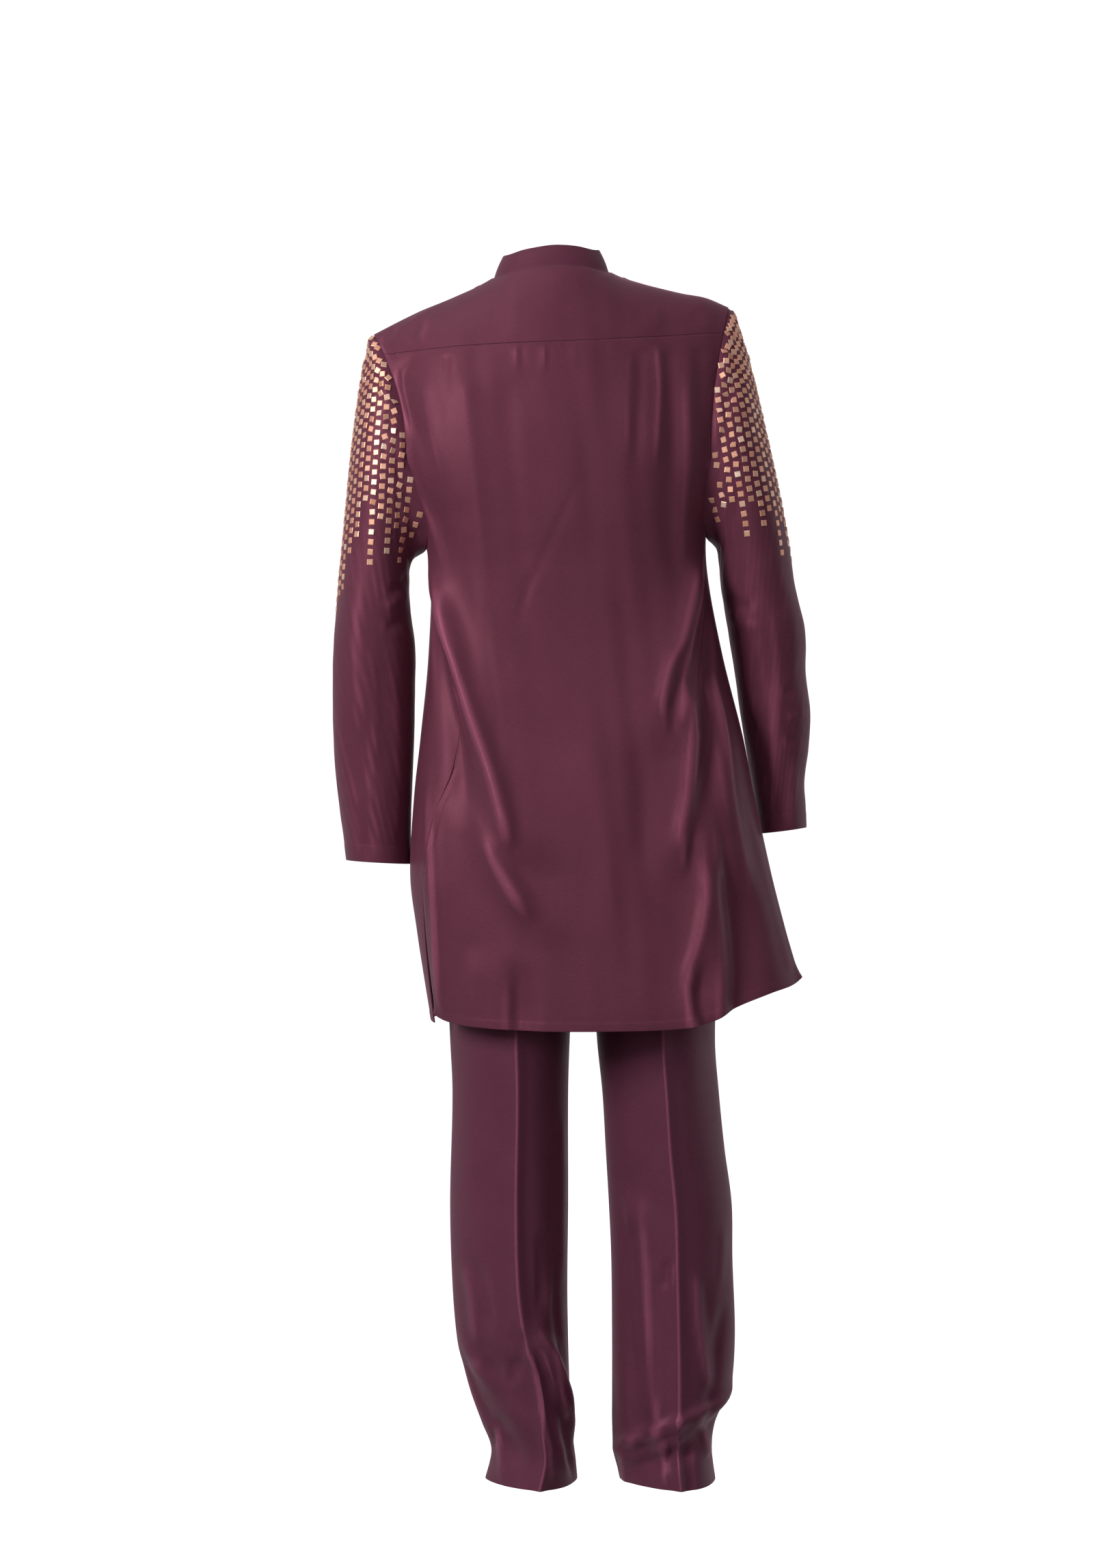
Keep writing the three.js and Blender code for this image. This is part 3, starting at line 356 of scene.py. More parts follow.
def shoulder_point(across, turn):
    """Point over the shoulders: a superellipse from the blades (180) over the crest (90) to the
    chest (0), for each place across."""
    across, turn = np.broadcast_arrays(np.asarray(across, float), np.asarray(turn, float))
    back = turn >= 90
    foot = np.where(back[..., None], back_point(across, BLADE_Z), front_point(across, BLADE_Z))
    level = np.abs(np.cos(np.radians(turn)))
    up = np.abs(np.sin(np.radians(turn)))
    crest_x = lerp(SHOULDER_LEFT_X, SHOULDER_RIGHT_X, across)
    crest = np.where(back, curve(CREST, "x", crest_x, "back"), curve(CREST, "x", crest_x, "front"))
    x = crest_x + (foot[..., 0] - crest_x) * level**CREST_EASE
    y = CREST_Y + (foot[..., 1] - CREST_Y) * level ** (2 / SHOULDER_ROUND)
    z = BLADE_Z + (crest - BLADE_Z) * up ** (2 / SHOULDER_ROUND)
    return np.stack([x, y, z], -1)


def yoke_seam_turn(across):
    """Turn over the shoulder at which a column of the back meets the yoke seam."""
    crest = curve(CREST, "x", lerp(SHOULDER_LEFT_X, SHOULDER_RIGHT_X, across), "back")
    share = (curve(YOKE_SEAM, "across", across, "z") - BLADE_Z) / (crest - BLADE_Z)
    return 180 - np.degrees(np.arcsin(share ** (SHOULDER_ROUND / 2)))


def spaced(length, step, fine=(0, 0.8, 2.4, 5, 8, 10, 11.4, 12.8)):
    """Distances from 0 to length, even but for the close ones that a turned edge needs at both
    ends."""
    close = np.array(fine, float)
    count = max(int(round((length - 2 * close[-1]) / step)), 2)
    middle = np.linspace(close[-1], length - close[-1], count + 1)[1:-1]
    return np.concatenate([close, middle, (length - close)[::-1]])


def fall_to_hem(level, hem_z):
    """Level of a row whose lowest part is stretched so that it ends at its column's hem."""
    share = (level - STRAIGHT_Z) / (DEEPEST_HEM_Z - STRAIGHT_Z)
    return np.where(level >= STRAIGHT_Z, level, STRAIGHT_Z + share * (hem_z - STRAIGHT_Z))


def facing(grid, closed=False):
    """Unit normals of a grid: the way across times the way along."""
    if closed:
        across = np.roll(grid, -1, 0) - np.roll(grid, 1, 0)
    else:
        across = np.gradient(grid, axis=0, edge_order=2)
    normal = np.cross(across, np.gradient(grid, axis=1, edge_order=2))
    return normal / np.maximum(np.linalg.norm(normal, axis=-1, keepdims=True), 1e-9)


def smooth_line(points, count=28):
    """Even run of points on a smooth line through a few."""
    points = np.array(points, float)
    walked = np.concatenate([[0], np.cumsum(np.linalg.norm(np.diff(points, axis=0), axis=1))])
    table = {"s": walked, **{k: points[:, k] for k in range(points.shape[1])}}
    stops = np.linspace(0, walked[-1], count)
    return np.stack([curve(table, "s", stops, k) for k in range(points.shape[1])], -1)


def crease_height(x, z, rise, left, right, fade, points):
    """Height of one crease at places seen square on: rise times exp(-(d / width)^2), with d the
    distance from its line and a width for each side, faded in and out along the line."""
    line = smooth_line(points)
    start, step = line[:-1], np.diff(line, axis=0)
    ox, oz = x[..., None] - start[:, 0], z[..., None] - start[:, 1]
    share = np.clip((ox * step[:, 0] + oz * step[:, 1]) / (step**2).sum(1), 0, 1)
    ox, oz = ox - share * step[:, 0], oz - share * step[:, 1]
    near = np.argmin(ox**2 + oz**2, -1)[..., None]
    ox, oz, share = (np.take_along_axis(a, near, -1)[..., 0] for a in (ox, oz, share))
    near = near[..., 0]
    along = (near + share) / len(start)
    side = step[near, 0] * oz - step[near, 1] * ox
    distance = np.hypot(ox, oz) * np.where(side < 0, -1, 1)
    fade_in, fade_out = fade
    lasts = ease(0, fade_in, along) if fade_in else 1.0
    lasts = lasts * (ease(1, 1 - fade_out, along) if fade_out else 1.0)
    return rise * lasts * soft_ridge(distance, left, right)


UNEVEN_RISE = 0.1


def uneven(x, z):
    """Slight unevenness of hanging cloth: twelve shallow sine waves, 25 to 65 mm wide, that run
    nearly straight down."""
    rng = np.random.default_rng(41)
    height = np.zeros(x.shape)
    for _ in range(12):
        lean = rng.choice([-1, 1]) * z / rng.uniform(180, 420)
        height += np.sin(2 * math.pi * (x / rng.uniform(25, 65) + lean) + rng.uniform(0, 2 * math.pi))
    return height


def creased(grid, creases, look, hold=1.0, closed=False, normal=None):
    """Moves a grid along its own normals by the sum of its creases and a slight unevenness, on
    the side that faces look, which is -1 for the back and 1 for the front. hold is 0 where a
    seam keeps the cloth in its place."""
    normal = facing(grid, closed) if normal is None else normal
    shown = ease(0.02, 0.4, look * normal[..., 1]) * hold
    height = UNEVEN_RISE * uneven(grid[..., 0], grid[..., 2])
    for rise, left, right, fade, points in creases:
        height += crease_height(grid[..., 0], grid[..., 2], rise, left, right, fade, points)
    return grid + normal * (height * shown)[..., None]


def walked_along(grid, axis):
    """Distance along the cloth from its first row or column to each point."""
    steps = np.linalg.norm(np.diff(grid, axis=axis), axis=-1)
    return np.insert(np.cumsum(steps, axis), 0, 0, axis)


FLAT_RADIUS, SHARP_RADIUS = 60, 14


def fold_crests(grid, normal, closed):
    """How sharply the cloth bends outward across its columns: 0 up to a radius of 60 mm, 1 from
    one of 14 mm, from how far each point stands above the middle of two beside it."""
    before, after = np.roll(grid, 2, 0), np.roll(grid, -2, 0)
    stands = ((grid - (before + after) / 2) * normal).sum(-1)
    apart = np.linalg.norm(after - before, axis=-1) / 2
    bend = ease(1 / FLAT_RADIUS, 1 / SHARP_RADIUS, 2 * stands / apart**2)
    if not closed:
        bend[:2] = bend[-2:] = 0
    return (bend + np.roll(bend, 1, 1) + np.roll(bend, -1, 1)) / 3


def make_up(name, points, faces, material, smooth=None):
    """Object at the origin, from points in millimetres and faces of their numbers."""
    mesh = bpy.data.meshes.new(name)
    mesh.from_pydata((points.reshape(-1, 3) * MM).tolist(), [], faces)
    if smooth is not None:
        mesh.polygons.foreach_set("use_smooth", smooth)
    mesh.materials.append(material)
    made = bpy.data.objects.new(name, mesh)
    bpy.context.scene.collection.objects.link(made)
    return made


def cloth_wall(name, grid, thick, material, closed=False, lift=0.0, normal=None):
    """Closed wall of cloth over a grid, half its thickness to each side along the normals, lifted
    off the grid where a layer lies below. Its UV map is in metres of cloth, and its outer side
    looks along across times along."""
    count, rows = grid.shape[:2]
    normal = facing(grid, closed) if normal is None else normal
    thick = np.broadcast_to(thick, (count, rows))[..., None]
    outer, inner = grid + normal * (lift + thick / 2), grid + normal * (lift - thick / 2)
    ring = np.concatenate([grid, grid[:1]]) if closed else grid
    u = walked_along(ring, 0).mean(1) * MM
    v = walked_along(grid, 1).mean(0) * MM
    wide = count if closed else count - 1

    def place(side, i, j):
        return side * count * rows + (i % count) * rows + j

    i, j = np.meshgrid(np.arange(wide), np.arange(rows - 1), indexing="ij")
    i, j = i.ravel(), j.ravel()
    k = np.arange(wide)
    zero, last = np.zeros(wide, int), np.full(wide, rows - 1)
    runs = [
        [(0, i, j), (0, i + 1, j), (0, i + 1, j + 1), (0, i, j + 1)],
        [(1, i, j), (1, i, j + 1), (1, i + 1, j + 1), (1, i + 1, j)],
        [(1, k, zero), (1, k + 1, zero), (0, k + 1, zero), (0, k, zero)],
        [(1, k + 1, last), (1, k, last), (0, k, last), (0, k + 1, last)],
    ]
    if not closed:
        m = np.arange(rows - 1)
        first, end = np.zeros(rows - 1, int), np.full(rows - 1, count - 1)
        runs.append([(0, first, m), (0, first, m + 1), (1, first, m + 1), (1, first, m)])
        runs.append([(0, end, m + 1), (0, end, m), (1, end, m), (1, end, m + 1)])
    faces = np.concatenate([np.stack([place(*c) for c in run], -1) for run in runs])
    where = np.concatenate(
        [np.stack([np.stack([u[at], v[down]], -1) for _, at, down in run], 1) for run in runs]
    )
    smooth = np.arange(len(faces)) < 2 * len(i)
    made = make_up(name, np.concatenate([outer, inner]), faces.tolist(), material, smooth)
    made.data.uv_layers.new(name="cloth").data.foreach_set("uv", where.reshape(-1))
    # The crest attribute is the mask of a painted highlight: the crepe material makes the colour lighter
    # along the crests of folds
    painted_crest_highlight = np.tile(fold_crests(grid, normal, closed).ravel(), 2).astype(np.float32)
    made.data.attributes.new("crest", "FLOAT", "POINT").data.foreach_set("value", painted_crest_highlight)
    return made


STITCH_IN = 1.4


def turned_edge(distance, turn, layer=0.75):
    """Thickness of cloth near a turned edge: one more layer as far as the turn reaches, a soft
    groove where the stitching sinks in beside it, and a little less on the worn fold."""
    folded = layer * ease(turn + 1.2, turn - 0.4, distance)
    stitched = 0.35 * np.exp(-(((distance - turn + STITCH_IN) / 1.1) ** 2))
    worn = 0.25 * np.exp(-((distance / 0.9) ** 2))
    return CLOTH + folded - stitched - worn


def worked_out(tree, operation, *values):
    """Result of a Math node on two or three numbers or sockets."""
    return add_node(tree, "ShaderNodeMath", dict(enumerate(values)), operation=operation).outputs[0]


def crepe_group():
    """Crepe grain on cloth coordinates in metres: fine pebbles and streaks of thread as a height, and
    their tone with wider patches as a colour and a roughness. Along the crests of folds the colour is made
    up to 1.9 times lighter as a painted highlight, and the roughness a little lower."""
    group = bpy.data.node_groups.new("crepe_grain_and_crest_highlight", "ShaderNodeTree")
    for name, kind in (
        ("Cloth", "NodeSocketVector"),
        ("Dye", "NodeSocketColor"),
        ("Pebbles", "NodeSocketFloat"),
        ("Patches", "NodeSocketFloat"),
        ("Base Roughness", "NodeSocketFloat"),
        ("Painted Crest Highlight", "NodeSocketFloat"),
    ):
        group.interface.new_socket(name=name, in_out="INPUT", socket_type=kind)
    for name, kind in (
        ("Colour", "NodeSocketColor"),
        ("Roughness", "NodeSocketFloat"),
        ("Height", "NodeSocketFloat"),
    ):
        group.interface.new_socket(name=name, in_out="OUTPUT", socket_type=kind)
    given = add_node(group, "NodeGroupInput").outputs
    pebbles = add_node(
        group,
        "ShaderNodeTexNoise",
        {"Vector": given["Cloth"], "Scale": 1250.0, "Detail": 2.0, "Roughness": 0.6},
    )
    streaks = []
    for stretch in ((1900.0, 210.0, 1.0), (120.0, 1100.0, 1.0)):
        drawn = add_node(group, "ShaderNodeMapping", {"Vector": given["Cloth"], "Scale": stretch})
        spun = {"Vector": drawn.outputs[0], "Scale": 1.0, "Detail": 2.0}
        streaks.append(add_node(group, "ShaderNodeTexNoise", spun).outputs["Fac"])
    patches = add_node(
        group,
        "ShaderNodeTexNoise",
        {"Vector": given["Cloth"], "Scale": 16.0, "Detail": 4.0, "Roughness": 0.62},
    )
    lines = worked_out(group, "ADD", *streaks)
    grain = worked_out(group, "MULTIPLY_ADD", lines, 0.5, pebbles.outputs["Fac"])
    centred = worked_out(group, "SUBTRACT", grain, 1.0)
    wide = worked_out(group, "SUBTRACT", patches.outputs["Fac"], 0.5)
    shade = worked_out(group, "MULTIPLY_ADD", centred, given["Pebbles"], 1.0)
    tone = worked_out(group, "MULTIPLY_ADD", wide, given["Patches"], shade)
    # Painted highlight: the colour is up to 1.9 times lighter along the crests of folds
    bright = worked_out(group, "MULTIPLY_ADD", given["Painted Crest Highlight"], 0.9, 1.0)
    lit = worked_out(group, "MULTIPLY", tone, bright)
    colour = add_node(group, "ShaderNodeVectorMath", {0: given["Dye"], 1: lit}, operation="MULTIPLY")
    mixed = worked_out(group, "MULTIPLY_ADD", wide, 0.22, given["Base Roughness"])
    rough = worked_out(group, "MULTIPLY_ADD", given["Painted Crest Highlight"], -0.08, mixed)
    out = add_node(group, "NodeGroupOutput")
    group.links.new(colour.outputs[0], out.inputs["Colour"])
    group.links.new(rough, out.inputs["Roughness"])
    group.links.new(grain, out.inputs["Height"])
    return group


CREPE_GRAIN_AND_CREST_HIGHLIGHT = crepe_group()
WINE = (0.149, 0.040, 0.070, 1.0)


def satin_crepe(name, dye, patches=0.25):
    """Wine satin crepe: dyed cloth with its grain, a broad soft gloss tinted by the dye, and a rosy sheen.
    Its colour carries a painted highlight along the crests of folds, from the crest attribute. A cloth of
    its own may have fainter patches."""
    material = bpy.data.materials.new(name)
    material.use_nodes = True
    tree = material.node_tree
    shader = tree.nodes["Principled BSDF"]
    cloth = add_node(tree, "ShaderNodeUVMap", uv_map="cloth")
    # The crest attribute paints a highlight: the colour is lighter along the crests of folds
    painted_crest_highlight = add_node(tree, "ShaderNodeAttribute", attribute_name="crest")
    grain = add_node(
        tree,
        "ShaderNodeGroup",
        node_tree=CREPE_GRAIN_AND_CREST_HIGHLIGHT,
    )
    for socket, value in (
        ("Dye", dye),
        ("Pebbles", 0.6),
        ("Patches", patches),
        ("Base Roughness", 0.42),
    ):
        grain.inputs[socket].default_value = value
    bump = add_node(tree, "ShaderNodeBump", {"Strength": 0.5, "Distance": 0.0002})
    for source, target in (
        (cloth.outputs[0], grain.inputs["Cloth"]),
        (painted_crest_highlight.outputs["Fac"], grain.inputs["Painted Crest Highlight"]),
        (grain.outputs["Height"], bump.inputs["Height"]),
        (grain.outputs["Colour"], shader.inputs["Base Color"]),
        (grain.outputs["Roughness"], shader.inputs["Roughness"]),
        (bump.outputs[0], shader.inputs["Normal"]),
    ):
        tree.links.new(source, target)
    shader.inputs["Specular IOR Level"].default_value = 0.34
    shader.inputs["Specular Tint"].default_value = (1.0, 0.32, 0.44, 1.0)
    shader.inputs["Sheen Weight"].default_value = 0.36
    shader.inputs["Sheen Roughness"].default_value = 0.24
    shader.inputs["Sheen Tint"].default_value = (1.0, 0.34, 0.52, 1.0)
    return material


KURTA_CREPE = satin_crepe("kurta_crepe", WINE)

# Creases of the back as seen from behind: how far each stands out, its widths to the left and
# right, how much of its line it fades in and out over, and the line from its top, as x and z
BACK_CREASES = [
    # The two long drapes from the left side, their crest lines and the folds beside them
    (9.0, 9, 13, (0.2, 0.12), [
        (-144, -366), (-135, -422), (-114, -493), (-96, -552), (-74, -619), (-56, -683),
        (-44, -724),
    ]),
    (8.4, 10, 15, (0.5, 0.25), [
        (-96, -653), (-79, -697), (-63, -739), (-41, -777), (-22, -800), (-12, -811),
    ]),
    (1.6, 4.5, 5.0, (0.1, 0.2), [
        (-139, -400), (-126, -462), (-114, -493), (-96, -552), (-74, -619), (-56, -683),
        (-44, -724),
    ]),
    (1.2, 4.5, 5.0, (0.5, 0.3), [(-79, -697), (-63, -739), (-41, -777), (-22, -800)]),
    (-4.6, 15, 4.2, (0.3, 0.12), [(-148, -395), (-141, -440), (-134, -500), (-129, -560), (-125, -612)]),
    (3.0, 5, 8, (0.25, 0.15), [(-142, -592), (-144, -642), (-145, -717), (-141, -801), (-136, -908)]),
    (-4.6, 12, 6, (0.5, 0), [(-42, -847), (-38, -885), (-37, -945)]),
    (-1.5, 12, 8, (0.3, 0.3), [(-83, -403), (-78, -460), (-65, -552), (-59, -642)]),
    (-2.4, 22, 26, (0.4, 0.3), [(-103, -709), (-90, -784), (-86, -885)]),
    # The drapes of the right side, down to the hem
    (4.4, 11, 7, (0.3, 0.15), [
        (187, -341), (181, -392), (166, -460), (152, -489), (143, -523), (137, -564),
    ]),
    (-5.6, 10, 13, (0.4, 0.3), [(174, -475), (162, -516), (155, -558), (157, -600)]),
    (4.4, 9, 10, (0.15, 0.25), [
        (170, -511), (175, -552), (174, -605), (168, -657), (159, -702), (152, -739),
    ]),
    (-4.0, 8, 9, (0.4, 0.4), [(179, -676), (177, -721), (175, -759)]),
    (5.2, 9, 12, (0.2, 0), [
        (189, -721), (192, -777), (186, -815), (179, -844), (170, -871), (170, -904), (177, -940),
    ]),
    (-7.6, 8, 24, (0.5, 0), [(199, -851), (182, -893), (190, -940)]),
    (-1.1, 3, 4, (0.3, 0.3), [(181, -540), (184, -560), (184, -580)]),
    (1.8, 10, 10, (0.3, 0.3), [(196, -552), (210, -627), (220, -701), (232, -784)]),
    (1.4, 5, 6, (0.2, 0.1), [(247, -657), (262, -724), (282, -801), (303, -882)]),
    # The shoulders, and the small gathers below the yoke seam
    (-2.6, 4, 4, (0.2, 0.4), [(-206, -86), (-198, -99), (-190, -112)]),
    (-3.0, 7, 12, (0.12, 0.3), [
        (-170, -98), (-170, -113), (-180, -128), (-184, -145), (-180, -166), (-169, -190),
        (-159, -213), (-144, -266), (-128, -341),
    ]),
    (1.6, 8, 9, (0.2, 0.4), [(-155, -127), (-151, -161), (-141, -215), (-128, -282)]),
    (2.2, 11, 14, (0.12, 0.3), [
        (-106, -124), (-100, -173), (-94, -228), (-86, -299), (-76, -374), (-68, -433),
    ]),
    (-1.7, 16, 18, (0.2, 0.4), [(-57, -130), (-48, -215), (-40, -282), (-34, -349), (-32, -416)]),
    (0.9, 4, 4, (0.1, 0.8), [(-41, -101), (-40, -118), (-38, -142)]),
    (-0.9, 4, 4, (0.1, 0.8), [(-34, -101), (-33, -118), (-31, -142)]),
    (0.9, 4, 5, (0.1, 0.8), [(-8, -101), (-8, -120), (-9, -150)]),
    (-0.9, 4, 4, (0.1, 0.8), [(0, -101), (0, -120), (-1, -150)]),
    (0.9, 4, 4, (0.1, 0.8), [(30, -99), (31, -116), (34, -146)]),
    (-1.2, 5, 6, (0.1, 0.8), [(-126, -108), (-126, -135), (-125, -175)]),
    (0.8, 20, 20, (0.3, 0.4), [(2, -131), (4, -215), (3, -316), (-2, -416)]),
    (-1.0, 18, 20, (0.3, 0.4), [(40, -131), (50, -215), (56, -316), (56, -416)]),
    (1.0, 8, 8, (0.1, 0.4), [(97, -108), (95, -182), (100, -265)]),
    (-2.4, 9, 8, (0.1, 0.4), [(112, -98), (113, -148), (110, -198), (107, -265)]),
    (2.2, 6, 7, (0.1, 0.4), [(132, -95), (135, -148), (133, -198), (130, -265)]),
    (-1.5, 8, 10, (0.1, 0.4), [(148, -95), (152, -165), (152, -223), (148, -299)]),
    (1.5, 9, 12, (0.2, 0.4), [(165, -120), (169, -223), (167, -316), (162, -399)]),
    (-1.7, 10, 10, (0.1, 0.4), [(188, -92), (187, -148), (182, -235)]),
    (-0.9, 5, 6, (0.3, 0.3), [(40, -259), (6, -332), (-17, -383), (-40, -437)]),
    (-0.8, 5, 6, (0.3, 0.3), [(-22, -366), (-32, -416), (-41, -458)]),
    (1.6, 24, 22, (0.3, 0.2), [(48, -500), (65, -583), (73, -684), (65, -784), (58, -885)]),
    (-1.9, 22, 18, (0.3, 0.3), [(107, -516), (115, -600), (115, -684), (102, -784)]),
    (1.6, 12, 10, (0.4, 0), [(-86, -835), (-94, -885), (-91, -944)]),
    # The pocket's mouth beside the left seam, and the tack that closes it
    (-0.8, 3.0, 4.0, (0.03, 0.8), [(-117, -617), (-121, -627), (-127, -642), (-137, -672)]),
    (0.9, 3.0, 3.0, (0.3, 0.3), [(-113, -540), (-114, -590), (-116, -612)]),
    (0.9, 2.8, 2.8, (0.4, 0.2), [(-134, -616), (-127, -618), (-122, -620)]),
]
LEFT_EDGE_DRAWN = 0.03
LEFT_EDGE_FROM_Z = -770
# Curl of the lower corners: how far up and in it reaches, and how the tip is moved
CORNER_CURLS = {"left": (20, (-3.0, -4.0, 1.5)), "right": (26, (3.0, -5.0, 3.5))}
BLADE_EASE_REACH = 34
BLADE_EASE_TIMES = 70
SEAM_HELD = 14
FREE_FROM_Z, FREE_BELOW_Z = -330, -420


def corner_curl(grid, across, z):
    """Curl of the back's two lower corners: the last 20 to 26 mm of cloth turn outward and up by
    the square of how near they are to the corner."""
    up = z - z[:, :1]
    for side, from_side in (("right", 1 - across), ("left", across)):
        reach, tip = CORNER_CURLS[side]
        near = np.clip(1 - np.hypot(from_side * PANEL_WIDTH, up) / reach, 0, 1) ** 2
        grid = grid + near[..., None] * np.array(tip)
    return grid


def eased_over(grid, hold):
    """Grid whose rows near the height of the blades are drawn towards the mean of the rows beside
    them, again and again, so that no line shows there."""
    near = (np.exp(-(((grid[..., 2] - BLADE_Z) / BLADE_EASE_REACH) ** 2)) * hold)[:, 1:-1, None]
    for _ in range(BLADE_EASE_TIMES):
        middle = (grid[:, 2:] + grid[:, :-2]) / 2
        grid = np.concatenate(
            [grid[:, :1], lerp(grid[:, 1:-1], middle, 0.5 * near), grid[:, -1:]], 1
        )
    return grid


def seam_hold(from_edge, z):
    """0 along a panel's seam and 1 from 14 mm off it. Below the armpits it is 1 at the edge too,
    because the creases run out over the side seams."""
    return ease(0, SEAM_HELD, from_edge + SEAM_HELD * ease(FREE_FROM_Z, FREE_BELOW_Z, z))


def kurta_back():
    """Back panel: rows fall from the blades to the hem, and rise over the blades to the yoke. Near
    the hem its left edge is drawn in. Also gives each column's distance from the edge."""
    across = spaced(PANEL_WIDTH, 2.95) / PANEL_WIDTH
    levels = DEEPEST_HEM_Z + spaced(BLADE_Z - DEEPEST_HEM_Z, 3.0)
    levels = levels[levels < BLADE_Z - 2]
    levels = np.concatenate([levels, [BLADE_Z]])
    a, level = np.meshgrid(across, levels, indexing="ij")
    z = fall_to_hem(level, curve(BACK_HEM, "across", a, "z"))
    drawn = LEFT_EDGE_DRAWN * (1 - a) ** 4 * ease(LEFT_EDGE_FROM_Z, DEEPEST_HEM_Z, z)
    low = corner_curl(back_point(a + drawn, z), a, z)
    share = np.linspace(0, 1, 40)[1:]
    high = shoulder_point(across[:, None], lerp(180, yoke_seam_turn(across)[:, None] + 0.02, share))
    grid = np.concatenate([low, high], 1)
    from_edge = np.minimum(a[:, :1], 1 - a[:, :1]) * PANEL_WIDTH
    hold = seam_hold(from_edge, grid[..., 2])
    return creased(eased_over(grid, hold), BACK_CREASES, -1, hold), from_edge


def slit_edge(grid, from_edge):
    """Thickness of a panel: a turned hem below, and turned edges beside the slits."""
    below = walked_along(grid, 1)
    beside = np.where(grid[..., 2] < SLIT_TOP_Z, from_edge, np.inf)
    return turned_edge(np.minimum(below, beside), HEM_TURN)


def wear(piece, *nodes, slot="wine_crepe"):
    """Puts the piece on the set's one body, in the place of its solids where it has any. The slot is not
    used."""
    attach(piece, "root")
    if nodes:
        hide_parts(*nodes)
    return piece


def thread_material():
    """Spun thread in the cloth's colour, a little lighter, with the twist of its fibres."""
    material = bpy.data.materials.new("sewing_thread")
    material.use_nodes = True
    tree = material.node_tree
    shader = tree.nodes["Principled BSDF"]
    coordinates = add_node(tree, "ShaderNodeTexCoord")
    fibres = add_node(
        tree,
        "ShaderNodeTexNoise",
        {"Vector": coordinates.outputs["Object"], "Scale": 2600.0, "Detail": 2.0},
    )
    colour = add_node(tree, "ShaderNodeValToRGB", {"Fac": fibres.outputs["Fac"]})
    stops = colour.color_ramp.elements
    stops[0].position, stops[0].color = 0.3, (0.150, 0.042, 0.076, 1.0)
    stops[1].position, stops[1].color = 0.7, (0.270, 0.092, 0.140, 1.0)
    tree.links.new(colour.outputs["Color"], shader.inputs["Base Color"])
    shader.inputs["Roughness"].default_value = 0.5
    shader.inputs["Specular IOR Level"].default_value = 0.25
    return material


SEWING_THREAD = thread_material()


def edge_run(grid, thick, distance, axis=1, far=False, closed=False, normal=None):
    """Line on the outer side of a cloth grid at one distance from its edge, with its normals:
    the place on each row or column where the distance walked from the edge is reached."""
    normal = facing(grid, closed) if normal is None else normal
    outer = grid + normal * (np.broadcast_to(thick, grid.shape[:2]) / 2)[..., None]
    if axis == 0:
        outer, normal = outer.transpose(1, 0, 2), normal.transpose(1, 0, 2)
    if far:
        outer, normal = outer[:, ::-1], normal[:, ::-1]
    walked = walked_along(outer, 1)
    line = np.arange(len(outer))
    k = np.argmax(walked > distance, 1)
    share = ((distance - walked[line, k - 1]) / (walked[line, k] - walked[line, k - 1]))[:, None]
    run = [lerp(a[line, k - 1], a[line, k], share) for a in (outer, normal)]
    return [np.concatenate([a, a[:1]]) for a in run] if closed else run


def stitches(name, runs, length=2.0, pitch=2.9, thread=0.17):
    """Row of stitches along each run: every one is a four-sided spindle that lies on the cloth,
    its two pointed ends sunk in."""
    starts, ends, ups = [], [], []
    for line, normal in runs:
        walked = walked_along(line[None], 1)[0]
        middle = (np.arange(int(walked[-1] / pitch)) + 0.5) * pitch
        for kept, at, source in (
            (starts, middle - length / 2, line),
            (ends, middle + length / 2, line),
            (ups, middle, normal),
        ):
            kept.append(np.stack([np.interp(at, walked, source[:, k]) for k in range(3)], -1))
    start, end, up = (np.concatenate(a) for a in (starts, ends, ups))
    side = np.cross(up, end - start)
    side /= np.linalg.norm(side, axis=1, keepdims=True)
    up = up / np.linalg.norm(up, axis=1, keepdims=True)
    ring = [(-1, 0), (0, -1), (1, 0), (0, 1)]
    body = [(t, x, z + 0.2) for t in (0.2, 0.8) for x, z in ring]
    shape = [(0, 0, -1.6), *body, (1, 0, -1.6)]
    points = np.stack(
        [lerp(start, end, t) + side * (x * thread) + up * (z * thread) for t, x, z in shape], 1
    )
    k = np.arange(4)
    n = (k + 1) % 4
    caps = np.concatenate(
        [np.stack([k * 0, 1 + n, 1 + k], -1), np.stack([k * 0 + 9, 5 + k, 5 + n], -1)]
    )
    sides = np.stack([1 + k, 1 + n, 5 + n, 5 + k], -1)
    first = 10 * np.arange(len(points))[:, None, None]
    faces = (caps + first).reshape(-1, 3).tolist() + (sides + first).reshape(-1, 4).tolist()
    return wear(make_up(name, points, faces, SEWING_THREAD, np.ones(len(faces), bool)))


def hem_and_slits(grid, thick, normal=None):
    """Runs of stitching round a panel: along its hem, and up both slits to a little above
    where they begin."""
    runs = [edge_run(grid, thick, HEM_TURN - STITCH_IN, normal=normal)]
    for far in (False, True):
        line, way = edge_run(grid, thick, HEM_TURN - STITCH_IN, axis=0, far=far, normal=normal)
        below = line[:, 2] < SLIT_TOP_Z + 4
        runs.append((line[below], way[below]))
    return runs


back_grid, back_from_edge = kurta_back()
back_thick = slit_edge(back_grid, back_from_edge)
back_piece = wear(cloth_wall("back_panel", back_grid, back_thick, KURTA_CREPE), "kurta_back")
back_stitches = stitches("back_stitches", hem_and_slits(back_grid, back_thick))

# Yoke. A shaped piece of the same crepe across the shoulders, from the fine seam over the back
# to the neck and a little past the crest of each shoulder.

